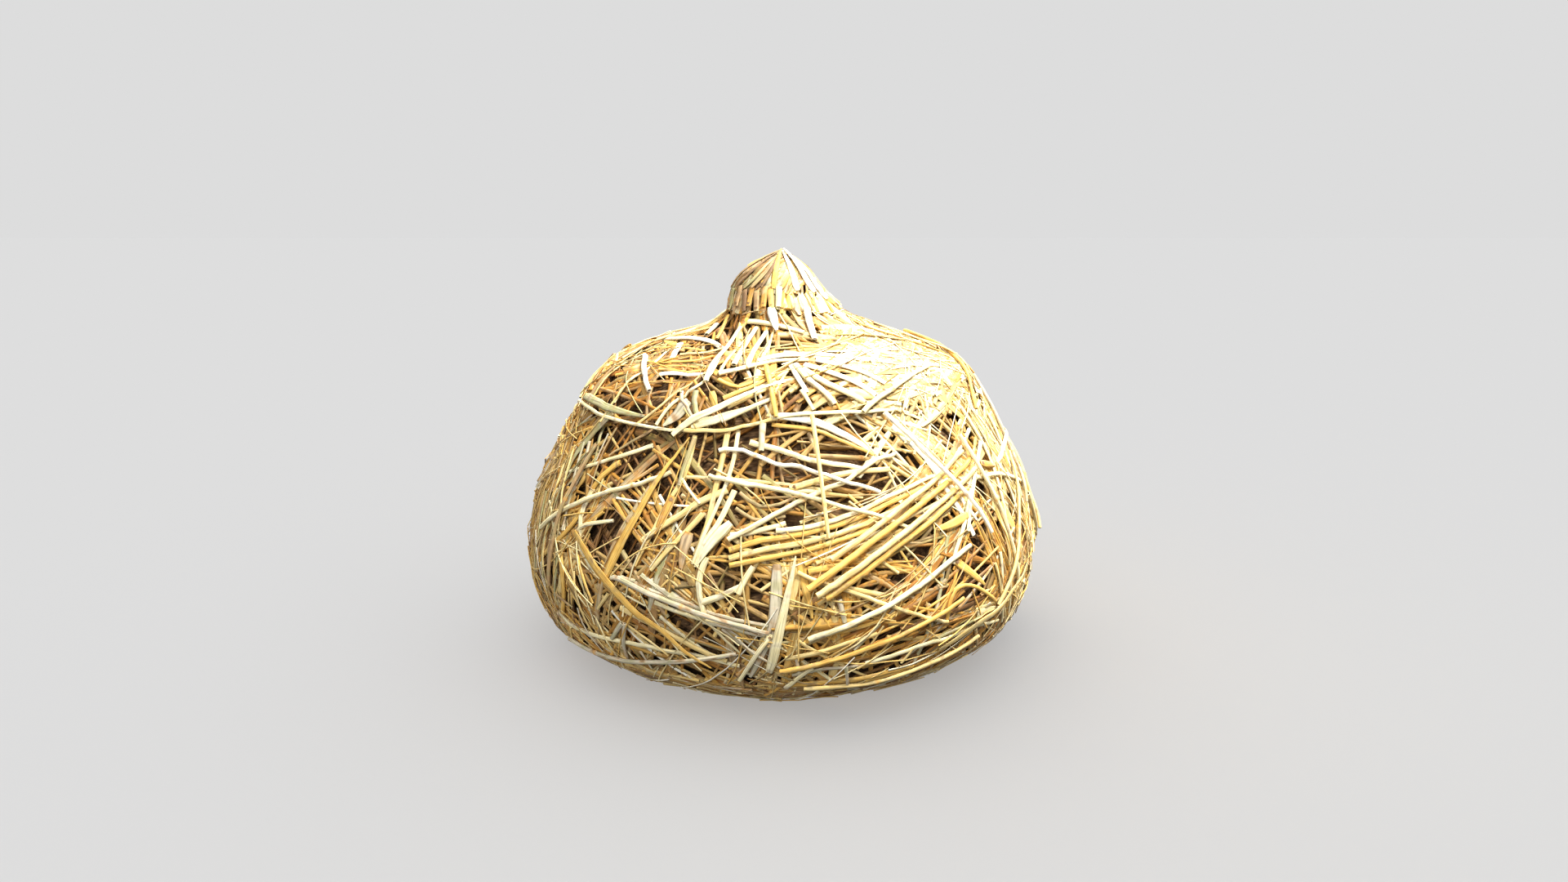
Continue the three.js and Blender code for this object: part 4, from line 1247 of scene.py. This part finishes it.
# The loose pieces, in the tones of the photograph's where they lie in front
looseTones = {
    "straw": (
        "straw", "ivory", "gold", "straw", "ash", "ivory", "ivory", "white", "gold", "straw", "gold", "straw",
        "ash", "ivory", "straw", "white", "ivory", "straw", "tan", "gold", "white", "ivory",
    ),
    "blade": ("gold", "gold", "ivory", "ivory", "straw"),
}
looseRandom = np.random.default_rng(loose["seed"])
for label, isBlade, slot, material in (
        ("loose_straws", False, "straw", stalkMaterial), ("leaf_blades", True, "leaf_blade", leafMaterial)):
    stems, names = [], []
    for nodeName, line in cadStems.items():
        if line["blade"] != isBlade:
            continue
        names.append(nodeName)
        family, number = nodeName.split("_")
        known = looseTones[family][int(number) - 1:int(number)]
        tone = toneOf[known[0]] if known else pickTone(plainTones, looseRandom)
        wide = line["wide"]
        thick = loose["bladeThick"] if isBlade else loose["strawFlat"] * wide
        _, rested, column, row, crown = restOn(
            line["bearing"], line["arc"], line["turn"], wide, thick, loose["stiffness"], loose["slack"])
        rested = np.clip(rested, line["lift"] - loose["drop"], line["lift"])
        line["lift"] = eased(rested, loose["ease"])
        remember(line["lift"], column, row, crown)
        stems.append({
            **line, "flat": thick / wide, "tone": tone, "depth": 1.0, "spring": 0,
            "joint": None if isBlade else looseRandom.uniform(*loose["joint"]),
            "twist": looseRandom.normal(0, loose["bladeTwist"]) if isBlade else 0,
            "taper": loose["bladeTaper" if isBlade else "strawTaper"],
        })
    piece = makeStems(
        label, stems, material, sides=10, spacing=placing["looseSpacing"], openEnds=not isBlade)
    finishPiece(piece, slot, *names)

# Floor, light and camera

studio = {
    "floor": 6.0, "floorShade": 0.80, "backdrop": 0.723, "ambient": (0.2, 0.53), "horizon": 0.3,
}
lamps = {
    # strength, softness, turn towards the right, rise (degrees) and colour
    "key": (5.5, 14, 50, 62, (1.0, 0.97, 0.90)), "fill": (1.6, 40, -34, 34, (1.0, 1.0, 1.0)),
    "overhead": (1.22, 20, 0, 90, (1.0, 1.0, 1.0)), "rim": (9.5, 14, 124, 60, (1.0, 0.98, 0.94)),
}


def makeFloor():
    size = studio["floor"]
    mesh = bpy.data.meshes.new("floor")
    corners = [(-size, -size, 0), (size, -size, 0), (size, size, 0), (-size, size, 0)]
    mesh.from_pydata(corners, [], [(0, 1, 2, 3)])
    material = bpy.data.materials.new("pale floor")
    material.use_nodes = True
    shader = material.node_tree.nodes["Principled BSDF"].inputs
    shader["Base Color"].default_value = (*(studio["floorShade"],) * 3, 1)
    shader["Roughness"].default_value = 1.0
    shader["Specular IOR Level"].default_value = 0.0
    mesh.materials.append(material)
    floor = addObject("floor", mesh)
    floor.visible_diffuse = False  # the hay's foot stays in shade
    floor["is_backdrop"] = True
    return floor


def makeSun(name, strength, softness, turn, rise, colour):
    data = bpy.data.lights.new(name, "SUN")
    data.energy, data.angle, data.color = strength, math.radians(softness), colour
    lamp = addObject(name, data)
    a, e = math.radians(turn), math.radians(rise)
    toward = Vector((math.sin(a) * math.cos(e), -math.cos(a) * math.cos(e), math.sin(e)))
    lamp.rotation_mode = "QUATERNION"
    lamp.rotation_quaternion = (-toward).to_track_quat("-Z", "Y")
    return lamp


def makeWorld():
    world = bpy.data.worlds.new("studio")
    bpy.context.scene.world = world
    wire = freshWiring(world)
    seen = wire.add("ShaderNodeLightPath").outputs["Is Camera Ray"]
    way = wire.add("ShaderNodeSeparateXYZ", {0: wire.add("ShaderNodeTexCoord").outputs["Generated"]})
    ambient = wire.rescale(way.outputs["Z"], -studio["horizon"], studio["horizon"], studio["ambient"])
    strength = wire.rescale(seen, 0.0, 1.0, (ambient, studio["backdrop"]))
    sky = wire.add("ShaderNodeBackground", {"Color": (1, 1, 1, 1), "Strength": strength})
    wire.add("ShaderNodeOutputWorld", {"Surface": sky.outputs[0]})


floor = makeFloor()
makeWorld()
suns = {name: makeSun(name, *values) for name, values in lamps.items()}
onFloor = bpy.data.collections.new("lit by the overhead lamp")
onFloor.objects.link(floor)
suns["overhead"].light_linking.receiver_collection = onFloor
suns["overhead"].light_linking.blocker_collection = onFloor
lit = bpy.data.collections.new("lit by the lamps")
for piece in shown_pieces():
    lit.objects.link(piece)
for name in ("key", "fill", "rim"):
    suns[name].light_linking.receiver_collection = lit
makeCamera()
bpy.context.scene.view_settings.view_transform = "Standard"
say("floor, light and camera")
